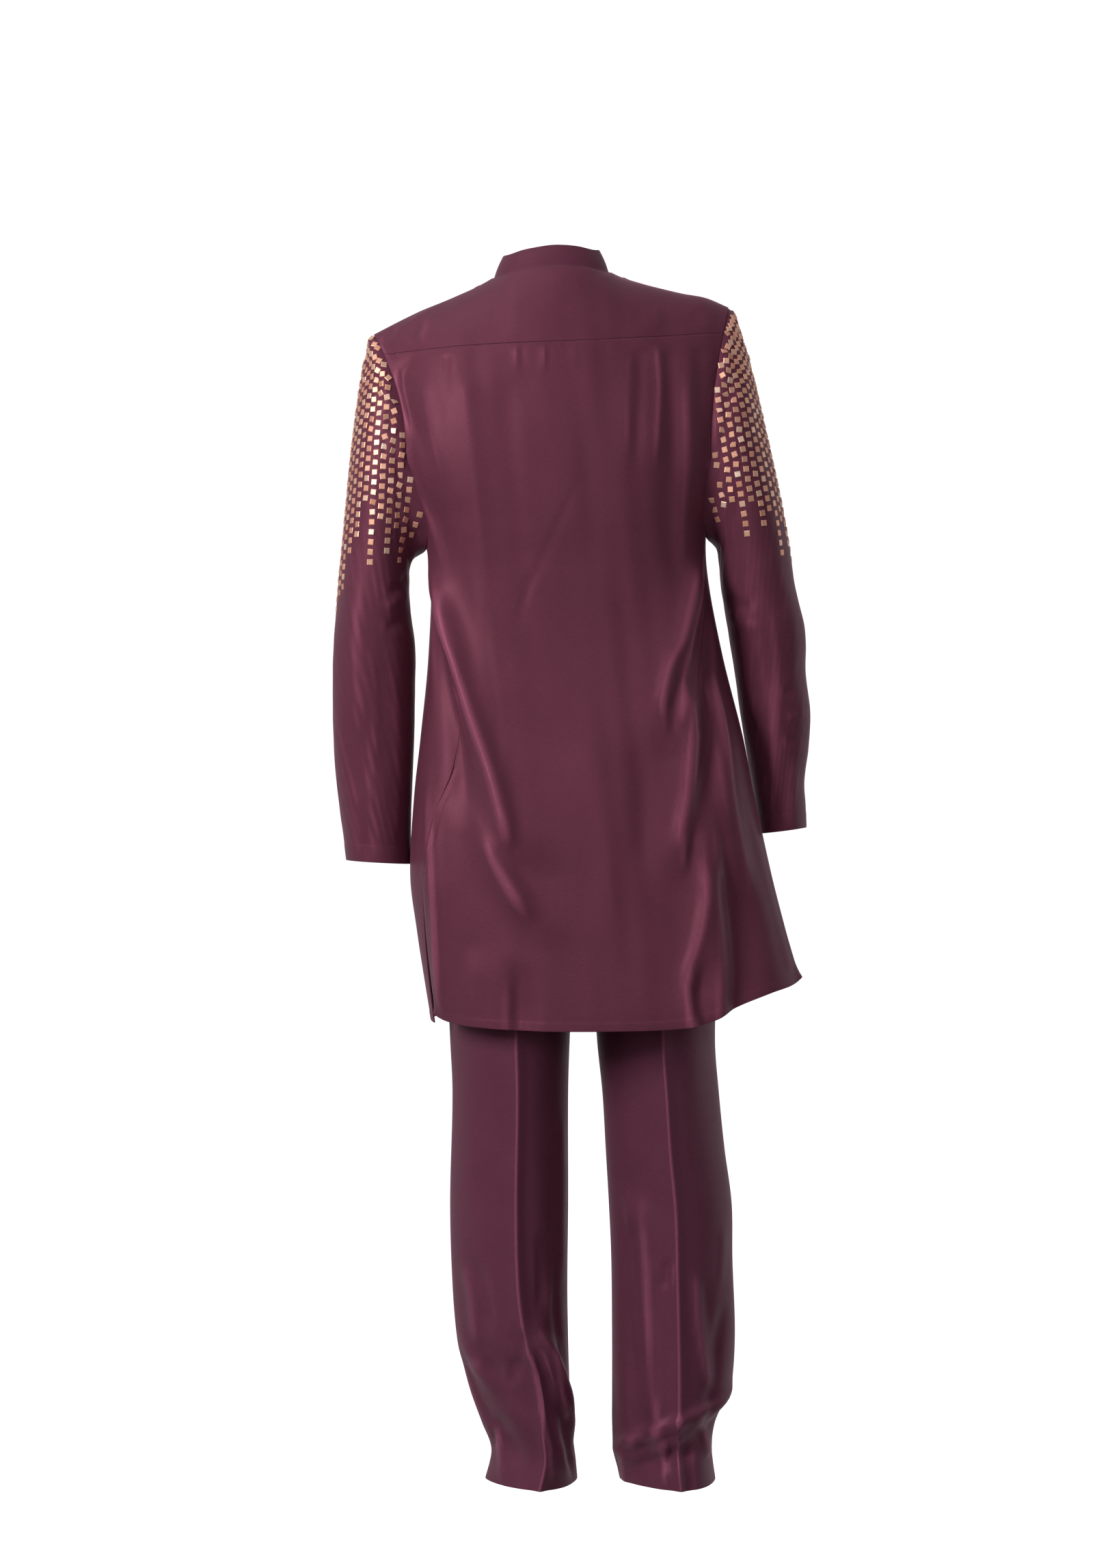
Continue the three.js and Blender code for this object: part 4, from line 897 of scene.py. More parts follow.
FRONT_SEAM_TURN = 76
NECK_HALF_WIDTH = 76
NECK_BACK_DEPTH = 62
NECK_FRONT_DEPTH = 66
NECK_ROUND = 2.5
NECK_SHARE = NECK_HALF_WIDTH / (SHOULDER_RIGHT_X - SHOULDER_LEFT_X)
NECK_CORNER = 9
YOKE_THICK = CLOTH + 0.25
YOKE_CREASES = [
    (-2.4, 4, 5, (0.3, 0.2), [(-196, -66), (-200, -78), (-206, -88)]),
    (-2.2, 6, 6, (0.4, 0.1), [(-158, -62), (-165, -76), (-170, -91)]),
    (1.4, 8, 9, (0.4, 0.1), [(-140, -52), (-150, -72), (-156, -91)]),
    (-1.2, 9, 9, (0.4, 0.1), [(110, -40), (112, -58), (112, -76)]),
    (1.2, 8, 8, (0.4, 0.1), [(130, -44), (133, -60), (134, -76)]),
    (-1.0, 9, 10, (0.4, 0.1), [(180, -48), (186, -58), (188, -68)]),
    (0.9, 24, 22, (0.3, 0.3), [(-80, -20), (-40, -44), (20, -60)]),
    (1.0, 3.2, 3.6, (0.2, 0.3), [(-120, -31), (-160, -54), (-194, -78)]),
]


def top_turn(across, face):
    """Turn over the shoulder where a column ends: the neck, an oval of power 2.5, or the
    shoulder seam outside it."""
    crest_x = lerp(SHOULDER_LEFT_X, SHOULDER_RIGHT_X, across)
    off = np.abs(crest_x - (SHOULDER_LEFT_X + SHOULDER_RIGHT_X) / 2) / NECK_HALF_WIDTH
    deep = NECK_BACK_DEPTH if face == "back" else NECK_FRONT_DEPTH
    foot = back_point(across, BLADE_Z) if face == "back" else front_point(across, BLADE_Z)
    hole = deep * (1 - np.minimum(off, 1) ** NECK_ROUND) ** (1 / NECK_ROUND)
    level = (hole / np.abs(foot[..., 1] - CREST_Y)) ** (SHOULDER_ROUND / 2)
    turn = np.degrees(np.arccos(level))
    turn = 180 - turn if face == "back" else turn
    beside = FRONT_SEAM_TURN + (90 - FRONT_SEAM_TURN) * np.exp((1 - off) * NECK_HALF_WIDTH / NECK_CORNER)
    return np.where(off >= 1, beside, turn)


def shoulder_facing(across, turn):
    """Unit normals over the shoulders, from the two places beside and the two before and after."""
    over = shoulder_point(across + 1e-4, turn) - shoulder_point(across - 1e-4, turn)
    normal = np.cross(over, shoulder_point(across, turn - 0.05) - shoulder_point(across, turn + 0.05))
    return normal / np.linalg.norm(normal, axis=-1, keepdims=True)


def neck_columns(step):
    """Places across a panel that ends at the neck, close together at both corners of it."""
    outside = spaced(PANEL_WIDTH * (0.5 - NECK_SHARE), step, (0, 0.8, 2.4, 5)) / PANEL_WIDTH
    bend = np.sin(np.linspace(-math.pi / 2, math.pi / 2, int(2 * NECK_SHARE * PANEL_WIDTH / step)))
    inside = 0.5 + NECK_SHARE * bend[1:-1]
    return np.concatenate([outside, inside, 1 - outside[::-1]])


def kurta_yoke():
    """Yoke: each column goes over the shoulder from the yoke seam to the neck or to the seam of
    the shoulder."""
    across = neck_columns(3.4)
    share = spaced(100, 3.4, (0, 0.8, 2.0, 4.0)) / 100
    low, high = yoke_seam_turn(across)[:, None] - 0.02, top_turn(across, "back")[:, None]
    turn = lerp(low, high, share)
    grid, normal = shoulder_point(across[:, None], turn), shoulder_facing(across[:, None], turn)
    from_edge = np.minimum(across, 1 - across)[:, None] * PANEL_WIDTH
    hold = ease(0, SEAM_HELD, from_edge) * ease(1.0, 0.8, share)
    grid = creased(grid, YOKE_CREASES + BACK_CREASES, -1, hold, normal=normal)
    return grid, normal


yoke_grid, yoke_normal = kurta_yoke()
yoke_piece = wear(
    cloth_wall("yoke", yoke_grid, YOKE_THICK, KURTA_CREPE, normal=yoke_normal), "kurta_yoke"
)
yoke_stitches = stitches(
    "yoke_stitches",
    [edge_run(yoke_grid, YOKE_THICK, 1.6, normal=yoke_normal)],
    length=1.5,
    pitch=2.3,
    thread=0.15,
)

# Front of the kurta. One panel from the shoulder seams to the hem, with a short opening down the
# chest. It parts from the back below the slits and lies a little inside it there.

SLIT_PARTING = 3.2
SLIT_INSET = 7
SLIT_INSET_LEFT = 2.5
SLIT_INSET_WIDE = 30
HIP_MIDDLE_X = 43
FRONT_HEM = columns("across z", (0, -938), (0.35, -926), (0.7, -892), (1, -868))
FRONT_CREASES = [
    (2.6, 10, 16, (0.2, 0.2), [(-118, -330), (-106, -430), (-92, -560), (-84, -690)]),
    (-2.4, 14, 12, (0.2, 0.2), [(-84, -380), (-76, -520), (-66, -660), (-62, -800)]),
    (2.0, 10, 12, (0.3, 0.1), [(-110, -640), (-118, -760), (-112, -900)]),
    (1.8, 12, 14, (0.3, 0.1), [(20, -480), (30, -620), (44, -780), (50, -910)]),
    (-2.0, 14, 12, (0.3, 0.1), [(66, -520), (76, -660), (90, -800), (92, -900)]),
    (2.8, 12, 9, (0.2, 0.1), [(150, -360), (140, -480), (132, -600), (140, -760)]),
    (-2.4, 12, 10, (0.3, 0.1), [(178, -460), (172, -600), (186, -740), (204, -860)]),
    (2.2, 8, 10, (0.3, 0.1), [(210, -600), (222, -720), (240, -860)]),
    (-2.2, 6, 8, (0.2, 0.3), [(-172, -120), (-166, -170), (-150, -240), (-128, -310)]),
    (-2.2, 8, 6, (0.2, 0.3), [(176, -110), (172, -170), (160, -250), (146, -330)]),
    (1.6, 12, 12, (0.2, 0.3), [(-120, -110), (-106, -200), (-96, -300)]),
    (1.4, 10, 12, (0.2, 0.3), [(118, -100), (112, -200), (106, -310)]),
    (-0.9, 6, 6, (0.3, 0.3), [(-60, -300), (-36, -360), (-4, -430)]),
    (-0.9, 6, 6, (0.3, 0.3), [(92, -290), (70, -350), (38, -420)]),
]


def front_edged(across, z):
    """Point of the front below the blades: its edges part from the back's along the slits, and
    sink in by a soft ridge of 30 mm beside them."""
    opened = ease(SLIT_TOP_Z, DEEPEST_HEM_Z, z)
    left = edge_turn("left", "front", z) - SLIT_PARTING * opened
    right = edge_turn("right", "front", z) - 360 + SLIT_PARTING * opened
    point = body_ring(lerp(left, right, across), z)
    near = np.exp(-((np.minimum(across, 1 - across) * PANEL_WIDTH / SLIT_INSET_WIDE) ** 2))
    inward = np.array([HIP_MIDDLE_X, BODY_MIDDLE_Y]) - point[..., :2]
    inward /= np.linalg.norm(inward, axis=-1, keepdims=True)
    inset = np.where(across < 0.5, SLIT_INSET_LEFT, SLIT_INSET)
    point[..., :2] += inward * (inset * near * opened)[..., None]
    return point


def kurta_front():
    """Front panel: rows fall from the chest to the hem, and rise over the chest to the neck and
    the shoulder seams. Its columns go from right to left, so that it faces forward. The cloth
    stays smooth under the strip that closes the chest."""
    across = neck_columns(4.2)
    levels = DEEPEST_HEM_Z + spaced(BLADE_Z - DEEPEST_HEM_Z, 4.2)
    levels = np.concatenate([levels[levels < BLADE_Z - 2], [BLADE_Z]])
    a, level = np.meshgrid(across, levels, indexing="ij")
    low = front_edged(a, fall_to_hem(level, curve(FRONT_HEM, "across", a, "z")))
    turn = top_turn(across, "front")[:, None] * np.linspace(0, 1, 34)[1:]
    grid = np.concatenate([low, shoulder_point(across[:, None], turn)], 1)[::-1]
    normal = facing(grid)
    normal[:, low.shape[1] + 1 :] = shoulder_facing(across[:, None], turn)[::-1, 1:]
    from_edge = np.minimum(a[:, :1], 1 - a[:, :1]) * PANEL_WIDTH
    rows = np.arange(grid.shape[1])[None, :]
    hold = seam_hold(from_edge, grid[..., 2])
    hold = hold * ease(grid.shape[1] - 1, grid.shape[1] - 8, rows)
    middle = np.abs(a[:, :1] - 0.5) * PANEL_WIDTH
    hold = hold * ease(16, 34, middle + 30 * ease(-320, -380, grid[..., 2]))
    return creased(eased_over(grid, hold), FRONT_CREASES, 1, hold, normal=normal), from_edge, normal


front_grid, front_from_edge, front_normal = kurta_front()
front_thick = slit_edge(front_grid, front_from_edge)
front_piece = wear(
    cloth_wall("front_panel", front_grid, front_thick, KURTA_CREPE, normal=front_normal),
    "kurta_front",
)
front_stitches = stitches("front_stitches", hem_and_slits(front_grid, front_thick, front_normal))

# Sleeves. Long set-in sleeves of one panel each, full at the elbow, with a turned hem at the
# wrist. The cloth puckers a little where the weight of the squares pulls on the sleeve head.

SLEEVE_HEM = 20
SLEEVE_COLUMNS = 120
HEAD_TUCK, NEXT_TUCK, HEAD_INSIDE = 2.4, 1.9, 2.6
HEAD_RISE, HEAD_LENGTH = 1.5, 26
HEAD_HELD = 20
PUCKER_RISE = 0.85
PUCKER_FULL, PUCKER_FAINT = 20, 120
CUFF_SMOOTH = 60
PUCKER_PHASE = {"left": 0.7, "right": 2.1}
SLEEVES = {
    "left": columns(
        "n outer_x outer_z inner_x inner_z mid_y depth follow",
        (0, -234, -98, -166, -349, -6, 64, 0.6),
        (1, -244, -162, -170, -353, -5, 68, 0.3),
        (2, -251, -232, -173, -358, -5, 67, 0.1),
        (3, -256, -301, -175, -366, -5, 65, 0),
        (4, -262, -362, -175, -382, -6, 62, 0),
        (5, -267, -418, -173, -422, -6, 60, 0),
        (6, -271, -470, -169, -470, -4, 58, 0),
        (7, -272, -520, -169, -520, -1, 57, 0),
        (8, -272, -570, -170, -570, 3, 56, 0),
        (9, -270, -620, -172, -620, 8, 55, 0),
        (10, -265, -665, -174, -667, 12, 54, 0),
        (11, -260, -702, -175, -705, 15, 53, 0),
        (12, -256, -736, -174, -741, 18, 52, 0),
    ),
    "right": columns(
        "n outer_x outer_z inner_x inner_z mid_y depth follow",
        (0, 246, -74, 209, -334, -4, 64, 0.6),
        (1, 262, -130, 212, -339, -3, 68, 0.3),
        (2, 276, -202, 214, -345, -1, 67, 0.1),
        (3, 290, -271, 215, -354, 1, 65, 0),
        (4, 302, -334, 216, -372, 4, 62, 0),
        (5, 311, -392, 219, -400, 8, 60, 0),
        (6, 320, -446, 227, -448, 13, 58, 0),
        (7, 325, -500, 236, -500, 18, 55, 0),
        (8, 327, -550, 243, -550, 23, 52, 0),
        (9, 328, -596, 251, -597, 28, 50, 0),
        (10, 327, -636, 258, -639, 32, 48, 0),
        (11, 326, -668, 263, -674, 35, 47, 0),
        (12, 327, -695, 267, -703, 37, 46, 0),
    ),
}
# Main folds of the sleeves: place round the sleeve, height, how far round and along, and rise
SLEEVE_FOLDS = {
    "left": [
        (160, -400, 60, 16, -5),
        (150, -445, 60, 18, 4),
        (60, -600, 40, 60, -4),
        (250, -430, 60, 20, -6),
    ],
    "right": [
        (10, -455, 70, 26, 4),
        (10, -520, 70, 12, -4),
        (10, -552, 70, 15, 4),
        (10, -581, 70, 10, -4),
        (10, -611, 70, 14, 4),
        (10, -638, 70, 10, -3),
        (180, -425, 70, 14, -5),
    ],
}
# Creases of the sleeves, from behind and then from in front, set out as those of the back are
SLEEVE_CREASES = {
    "left": {
        -1: [
            (-2.6, 6, 8, (0.2, 0.3), [(-168, -372), (-186, -392), (-204, -402)]),
            (2.0, 7, 7, (0.2, 0.3), [(-170, -392), (-190, -412), (-212, -424)]),
            (-2.0, 7, 7, (0.2, 0.3), [(-170, -425), (-188, -438), (-206, -452)]),
            (1.6, 9, 12, (0.3, 0.3), [(-236, -380), (-240, -480), (-236, -600)]),
            (-1.8, 10, 12, (0.3, 0.3), [(-212, -440), (-206, -540), (-212, -660)]),
            (1.4, 8, 9, (0.3, 0.2), [(-196, -500), (-188, -600), (-192, -720)]),
            (-1.2, 8, 9, (0.3, 0.2), [(-240, -600), (-232, -680), (-228, -738)]),
        ],
        1: [
            (-2.2, 7, 9, (0.2, 0.3), [(-168, -380), (-190, -404), (-214, -420)]),
            (-1.8, 7, 9, (0.2, 0.3), [(-170, -430), (-196, -446), (-226, -452)]),
            (1.4, 9, 12, (0.3, 0.3), [(-222, -480), (-226, -600), (-216, -700)]),
            (-1.4, 9, 10, (0.3, 0.2), [(-196, -520), (-200, -620), (-198, -730)]),
        ],
    },
    "right": {
        -1: [
            (-2.2, 6, 8, (0.2, 0.3), [(218, -398), (236, -414), (256, -424)]),
            (1.8, 7, 7, (0.2, 0.3), [(222, -424), (246, -440), (272, -446)]),
            (1.6, 10, 10, (0.3, 0.3), [(276, -400), (284, -500), (282, -600)]),
            (-1.6, 9, 10, (0.3, 0.3), [(258, -470), (266, -560), (276, -660)]),
            (-1.6, 5, 6, (0.3, 0.3), [(326, -512), (306, -522), (288, -526)]),
            (1.6, 6, 6, (0.3, 0.3), [(328, -548), (308, -556), (292, -558)]),
            (-1.6, 5, 6, (0.3, 0.3), [(328, -578), (310, -584), (294, -584)]),
            (-2.2, 4, 5, (0.2, 0.3), [(247, -548), (254, -560), (258, -580)]),
            (1.2, 9, 9, (0.3, 0.2), [(306, -600), (304, -650), (302, -700)]),
        ],
        1: [
            (-2.2, 7, 8, (0.2, 0.3), [(220, -400), (244, -420), (270, -432)]),
            (-1.8, 6, 8, (0.2, 0.3), [(326, -510), (302, -522), (276, -524)]),
            (1.6, 7, 7, (0.2, 0.3), [(328, -548), (304, -560), (280, -566)]),
            (-1.4, 9, 9, (0.3, 0.2), [(290, -580), (296, -640), (300, -700)]),
        ],
    },
}


def armhole(side):
    """Edge of the panels round an armhole at even steps: from the armpit up the back, over the
    shoulder and down the front."""
    across = 0.0 if side == "left" else 1.0
    z = lerp(ARMPIT[side], BLADE_Z, np.linspace(0, 1, 90) ** 2)
    seam = float(yoke_seam_turn(np.array(across)))
    runs = [back_point(across, z)]
    runs += [
        shoulder_point(across, np.linspace(a, b, 60)[1:])
        for a, b in ((180, seam), (seam, FRONT_SEAM_TURN), (FRONT_SEAM_TURN, 0))
    ]
    runs.append(front_point(across, z[::-1])[1:])
    line = np.concatenate(runs)
    walked = walked_along(line[None], 1)[0]
    stops = np.linspace(0, walked[-1], SLEEVE_COLUMNS + 1)[:-1]
    return np.stack([np.interp(stops, walked, line[:, k]) for k in range(3)], -1), stops / walked[-1]


def sleeve_ring(side, n, turn):
    """Oval ring number n of a sleeve, between its outer and its inner edge, moved out by the
    sleeve's folds."""
    row = {k: SLEEVES[side][k][n] for k in SLEEVES[side]}
    outer = np.array([row["outer_x"], row["mid_y"], row["outer_z"]])
    inner = np.array([row["inner_x"], row["mid_y"], row["inner_z"]])
    out = (outer - inner) / 2
    c, s = np.cos(np.radians(turn))[:, None], np.sin(np.radians(turn))[:, None]
    point = (outer + inner) / 2 + out * c + np.array([0, -row["depth"], 0]) * s
    push = out / np.linalg.norm(out) * c + np.array([0, -1, 0]) * s
    rise = np.zeros(len(turn))
    for at, z, around, along, height in SLEEVE_FOLDS[side]:
        off = (turn - at + 900) % 360 - 180
        rise += height * np.exp(-((off / around) ** 2)) * np.exp(-(((point[:, 2] - z) / along) ** 2))
    return point + push * rise[:, None]


def through_rows(knots, step):
    """Grid of even rows on smooth lines through a few rows of points, with close rows at the
    hem. Each line is a cubic from row to row, as in curve."""
    gaps = np.linalg.norm(np.diff(knots, axis=1), axis=-1).mean(0)
    place = np.concatenate([[0], np.cumsum(gaps)])
    near_hem = SLEEVE_HEM + np.array((3, 1.2, 0, -STITCH_IN, -3))
    even = spaced(place[-1], step, (0, 0.8, 2.4, 5))[:-4]
    stops = np.concatenate([even, place[-1] - near_hem, place[-1] - np.array((5, 2.4, 0.8, 0))])
    stops = np.unique(np.round(stops, 3))
    flat = knots.transpose(1, 0, 2).reshape(len(place), -1)
    slope = np.gradient(flat, place, axis=0)
    slope[1:-1] = (flat[2:] - flat[:-2]) / (place[2:] - place[:-2])[:, None]
    n = np.clip(np.searchsorted(place, stops, side="right") - 1, 0, len(place) - 2)
    span = (place[n + 1] - place[n])[:, None]
    u = (stops - place[n])[:, None] / span
    value = lerp(flat[n], flat[n + 1], u * u * (3 - 2 * u))
    value += u * (1 - u) ** 2 * slope[n] * span - u * u * (1 - u) * slope[n + 1] * span
    return value.reshape(len(stops), -1, 3).transpose(1, 0, 2)


def sleeve_grid(side):
    """Sleeve: from a ring tucked just inside the armhole's edge, through the rings, to the
    wrist. The head stands out by half a sine, and puckers, which are products of sines round and
    down the sleeve, die away below it."""
    edge, share = armhole(side)
    turn = (180 - 360 * share) % 360
    centre = edge.mean(0) - edge
    centre[:, 0] = 0
    centre /= np.linalg.norm(centre, axis=1, keepdims=True)
    into = np.array([1.0 if side == "left" else -1.0, 0, 0])
    rows = [edge + centre * HEAD_TUCK + into * HEAD_INSIDE, edge + centre * NEXT_TUCK]
    for n, follow in enumerate(SLEEVES[side]["follow"]):
        rows.append(lerp(sleeve_ring(side, n, turn), edge, follow))
    grid = through_rows(np.stack(rows, 1), 3.6)
    if side == "right":
        grid = grid[::-1]
    down = walked_along(grid, 1)
    around = np.linspace(0, 2 * math.pi, len(grid), endpoint=False)[:, None]
    phase = PUCKER_PHASE[side]
    pucker = np.sin(9 * around + phase + down / 17) * np.sin(down / 9.5 + 1.3 * np.sin(5 * around + phase))
    pucker += 0.7 * np.sin(14 * around - down / 23 + 2 * phase) * np.sin(down / 7 + 2 * np.cos(3 * around))
    height = PUCKER_RISE * pucker * ease(0, SEAM_HELD, down)
    height = height * lerp(0.16, 1.0, ease(PUCKER_FAINT, PUCKER_FULL, down))
    height *= ease(0, CUFF_SMOOTH, down[:, -1:] - down)
    head = HEAD_RISE * np.sin(np.clip(down / HEAD_LENGTH, 0, 1) * math.pi)
    grid = grid + facing(grid, True) * (height + head)[..., None]
    for look, creases in SLEEVE_CREASES[side].items():
        grid = creased(grid, creases, look, ease(0, HEAD_HELD, down), closed=True)
    return grid


sleeve_grids, sleeve_pieces, cuff_stitches = {}, {}, {}
for side in ("left", "right"):
    grid = sleeve_grid(side)
    sleeve_grids[side] = grid
    thick = turned_edge(walked_along(grid[:, ::-1], 1)[:, ::-1], SLEEVE_HEM)
    sleeve_pieces[side] = wear(
        cloth_wall(f"sleeve_{side}_cloth", grid, thick, KURTA_CREPE, closed=True),
        f"sleeve_{side}",
    )
    cuff_stitches[side] = stitches(
        f"cuff_stitches_{side}",
        [edge_run(grid, thick, SLEEVE_HEM - STITCH_IN, far=True, closed=True)],
    )

# Squares. Small plates of rose gilt metal, 7 mm wide, pressed on in columns down each sleeve from
# the sleeve head. The columns end at uneven heights, and the plates tip a little with the cloth.

SQUARE = 7.2
SQUARE_THICK = 0.8
SQUARE_BEVEL = 0.7
SQUARE_PITCH = 12.4
SQUARE_APART = 12.7
STAGGER = 0.38
LOWEST_SQUARE_Z = -470
COUNTED_AT_Z = -330
AXIS_FROM_Z, AXIS_TO_Z = -300, -460
FRONT_UNEVEN = 9
CLEAR_OF_SEAM = 6.5
LOOSENED_OVER = 50
SQUARE_SEED = {"left": 11, "right": 23}
# Height where each column ends, from the sleeve's outer edge round to its inner one
SQUARES_END = {
    "left": (-424, -412, -400, -352, -343, -296, -367, -316, -360, -318, -364, -330, -300, -340, -290),
    "right": (-372, -350, -322, -357, -300, -319, -291, -324, -283, -286, -310, -270, -300, -262, -280),
}


def rose_metal():
    """Gilt metal: each plate has its own tone, with a fine brushed grain."""
    material = bpy.data.materials.new("rose_gilt")
    material.use_nodes = True
    tree = material.node_tree
    shader = tree.nodes["Principled BSDF"]
    tone = add_node(tree, "ShaderNodeAttribute", attribute_name="tone")
    coordinates = add_node(tree, "ShaderNodeTexCoord")
    brushed = add_node(
        tree,
        "ShaderNodeTexNoise",
        {"Vector": coordinates.outputs["Object"], "Scale": 900.0, "Detail": 3.0},
    )
    colour = add_node(tree, "ShaderNodeValToRGB", {"Fac": tone.outputs["Fac"]})
    stops = colour.color_ramp.elements
    stops[0].position, stops[0].color = 0.0, (0.80, 0.36, 0.24, 1.0)
    stops[1].position, stops[1].color = 1.0, (0.99, 0.74, 0.58, 1.0)
    middle = stops.new(0.55)
    middle.color = (0.95, 0.50, 0.35, 1.0)
    rough = add_node(
        tree,
        "ShaderNodeMapRange",
        {"Value": brushed.outputs["Fac"], 1: 0.3, 2: 0.7, 3: 0.32, 4: 0.5},
    )
    tree.links.new(colour.outputs["Color"], shader.inputs["Base Color"])
    tree.links.new(rough.outputs[0], shader.inputs["Roughness"])
    shader.inputs["Metallic"].default_value = 0.5
    return material


def about_the_sleeve(grid, out):
    """For each point of a sleeve, its turn round the sleeve's axis from the outer side over the
    back, and how far along the axis it lies; also the axis, and its height at the start."""
    mean = grid.mean(0)
    first, last = (mean[np.argmin(np.abs(mean[:, 2] - z))] for z in (AXIS_FROM_Z, AXIS_TO_Z))
    axis = (last - first) / np.linalg.norm(last - first)
    aside = np.array([out, 0.0, 0.0]) - axis * (axis[0] * out)
    aside /= np.linalg.norm(aside)
    back = np.cross(axis, aside) * out
    off = grid - first
    return np.arctan2(off @ back, off @ aside) % (2 * math.pi), off @ axis, first[2], axis[2]


def turned_by(a, b):
    """Smallest turn from a to b in radians, with its sign."""
    return (b - a + math.pi) % (2 * math.pi) - math.pi


def wanted_places(side, grid, turn, along, start_z, fall):
    """Turn and distance along the sleeve of each plate: straight columns at even steps round it,
    each 0.38 of a pitch further down than the one before, as far as its own end. Also the
    sleeve's mean radius."""
    ring = np.argmin(np.abs(grid[..., 2].mean(0) - COUNTED_AT_Z))
    order = np.argsort(turn[:, ring])
    line = grid[order, ring]
    walked = walked_along(np.concatenate([line, line[:1]])[None], 1)[0]
    turns = np.append(turn[order, ring], turn[order[0], ring] + 2 * math.pi)
    count = int(walked[-1] / SQUARE_APART)
    column_turns = np.interp((np.arange(count) + 0.5) / count * walked[-1], walked, turns)
    wanted = []
    for c, column_turn in enumerate(column_turns):
        outer = min(c, count - 1 - c) % len(SQUARES_END[side])
        in_front = 0 if c < count / 2 else FRONT_UNEVEN * math.sin(2.3 * c)
        end = (SQUARES_END[side][outer] + in_front - start_z) / fall
        stops = np.arange(along.min() + SQUARE_PITCH * ((STAGGER * c) % 1), end, SQUARE_PITCH)
        wanted.append(np.column_stack([np.full(len(stops), column_turn), stops]))
    return np.concatenate(wanted), walked[-1] / (2 * math.pi)


def seats(side, grid):
    """Centre, normal, way down the sleeve and distance from the seam of every plate. Its place on
    the cloth is that of the nearest grid point, moved by the grid's own slopes, by Newton's
    step for the two wanted numbers."""
    normal = facing(grid, True)
    turn, along, start_z, fall = about_the_sleeve(grid, -1.0 if side == "left" else 1.0)
    down = walked_along(grid, 1)
    wanted, radius = wanted_places(side, grid, turn, along, start_z, fall)
    far = (radius * turned_by(turn.ravel()[None], wanted[:, :1])) ** 2
    far += (along.ravel()[None] - wanted[:, 1:]) ** 2
    i, j = np.unravel_index(far.argmin(1), turn.shape)
    inside = (j > 0) & (j < turn.shape[1] - 1)
    i, j, wanted = i[inside], j[inside], wanted[inside]
    after, before = (i + 1) % len(grid), i - 1

    def slopes(values, apart=lambda a, b: b - a):
        across = apart(values[before, j], values[after, j]) / 2
        return across, apart(values[i, j - 1], values[i, j + 1]) / 2

    turn_i, turn_j = slopes(turn, turned_by)
    along_i, along_j = slopes(along)
    grid_i, grid_j = slopes(grid)
    normal_i, normal_j = slopes(normal)
    scale = turn_i * along_j - turn_j * along_i
    missing_turn, missing = turned_by(turn[i, j], wanted[:, 0]), wanted[:, 1] - along[i, j]
    a = (missing_turn * along_j - missing * turn_j) / scale
    b = (missing * turn_i - missing_turn * along_i) / scale
    kept = (np.abs(a) < 1) & (np.abs(b) < 1) & (down[i, j] > CLEAR_OF_SEAM)
    centre = (grid[i, j] + grid_i * a[:, None] + grid_j * b[:, None])[kept]
    up = (normal[i, j] + normal_i * a[:, None] + normal_j * b[:, None])[kept]
    way = ((grid_j * turn_i[:, None] - grid_i * turn_j[:, None]) / scale[:, None])[kept]
    return centre, up, way, down[i, j][kept]


def sleeve_squares(side, material):
    """Plates on one sleeve. Each is a bevelled square on the cloth's own normal, tipped and
    turned by a small random angle, which is larger near the armhole: exp(-distance / 50 mm)."""
    grid = sleeve_grids[side]
    centre, up, way, down = seats(side, grid[:, grid[..., 2].max(0) > LOWEST_SQUARE_Z])
    rng = np.random.default_rng(SQUARE_SEED[side])
    loose = np.exp(-down / LOOSENED_OVER)
    count = len(centre)
    way = way / np.linalg.norm(way, axis=1, keepdims=True)
    tilt = rng.normal(0, 1, (count, 2)) * (0.04 + 0.16 * loose)[:, None]
    up = up + way * tilt[:, :1] + np.cross(up, way) * tilt[:, 1:]
    up /= np.linalg.norm(up, axis=1, keepdims=True)
    spin = rng.normal(0, 1, count) * (0.03 + 0.3 * loose)
    way = way * np.cos(spin)[:, None] + np.cross(up, way) * np.sin(spin)[:, None]
    way -= up * (way * up).sum(1, keepdims=True)
    way /= np.linalg.norm(way, axis=1, keepdims=True)
    side_way = np.cross(up, way)
    half, flat = SQUARE / 2, SQUARE / 2 - SQUARE_BEVEL
    corners = np.array([(-1, -1), (1, -1), (1, 1), (-1, 1)], float)
    layers = [(half, -0.3), (half, SQUARE_THICK - SQUARE_BEVEL * 0.45), (flat, SQUARE_THICK)]
    shape = np.concatenate([np.column_stack([corners * h, np.full(4, z)]) for h, z in layers])
    seat = centre + up * (CLOTH / 2)
    points = (
        seat[:, None]
        + shape[None, :, 0:1] * side_way[:, None]
        + shape[None, :, 1:2] * way[:, None]
        + shape[None, :, 2:3] * up[:, None]
    )
    k = np.arange(4)
    n = (k + 1) % 4
    walls = [np.stack([r + k, r + n, r + 4 + n, r + 4 + k], -1) for r in (0, 4)]
    one = np.concatenate([[[3, 2, 1, 0]], *walls, [[8, 9, 10, 11]]])
    faces = (one[None] + 12 * np.arange(count)[:, None, None]).reshape(-1, 4)
    if np.linalg.det(np.stack([side_way[0], way[0], up[0]])) < 0:
        faces = faces[:, ::-1]
    made = make_up(f"squares_{side}", points, faces.tolist(), material)
    tone = np.repeat(np.clip(rng.normal(0.5, 0.2, count), 0, 1), 12).astype(np.float32)
    made.data.attributes.new("tone", "FLOAT", "POINT").data.foreach_set("value", tone)
    return wear(made, slot="rose_metal")


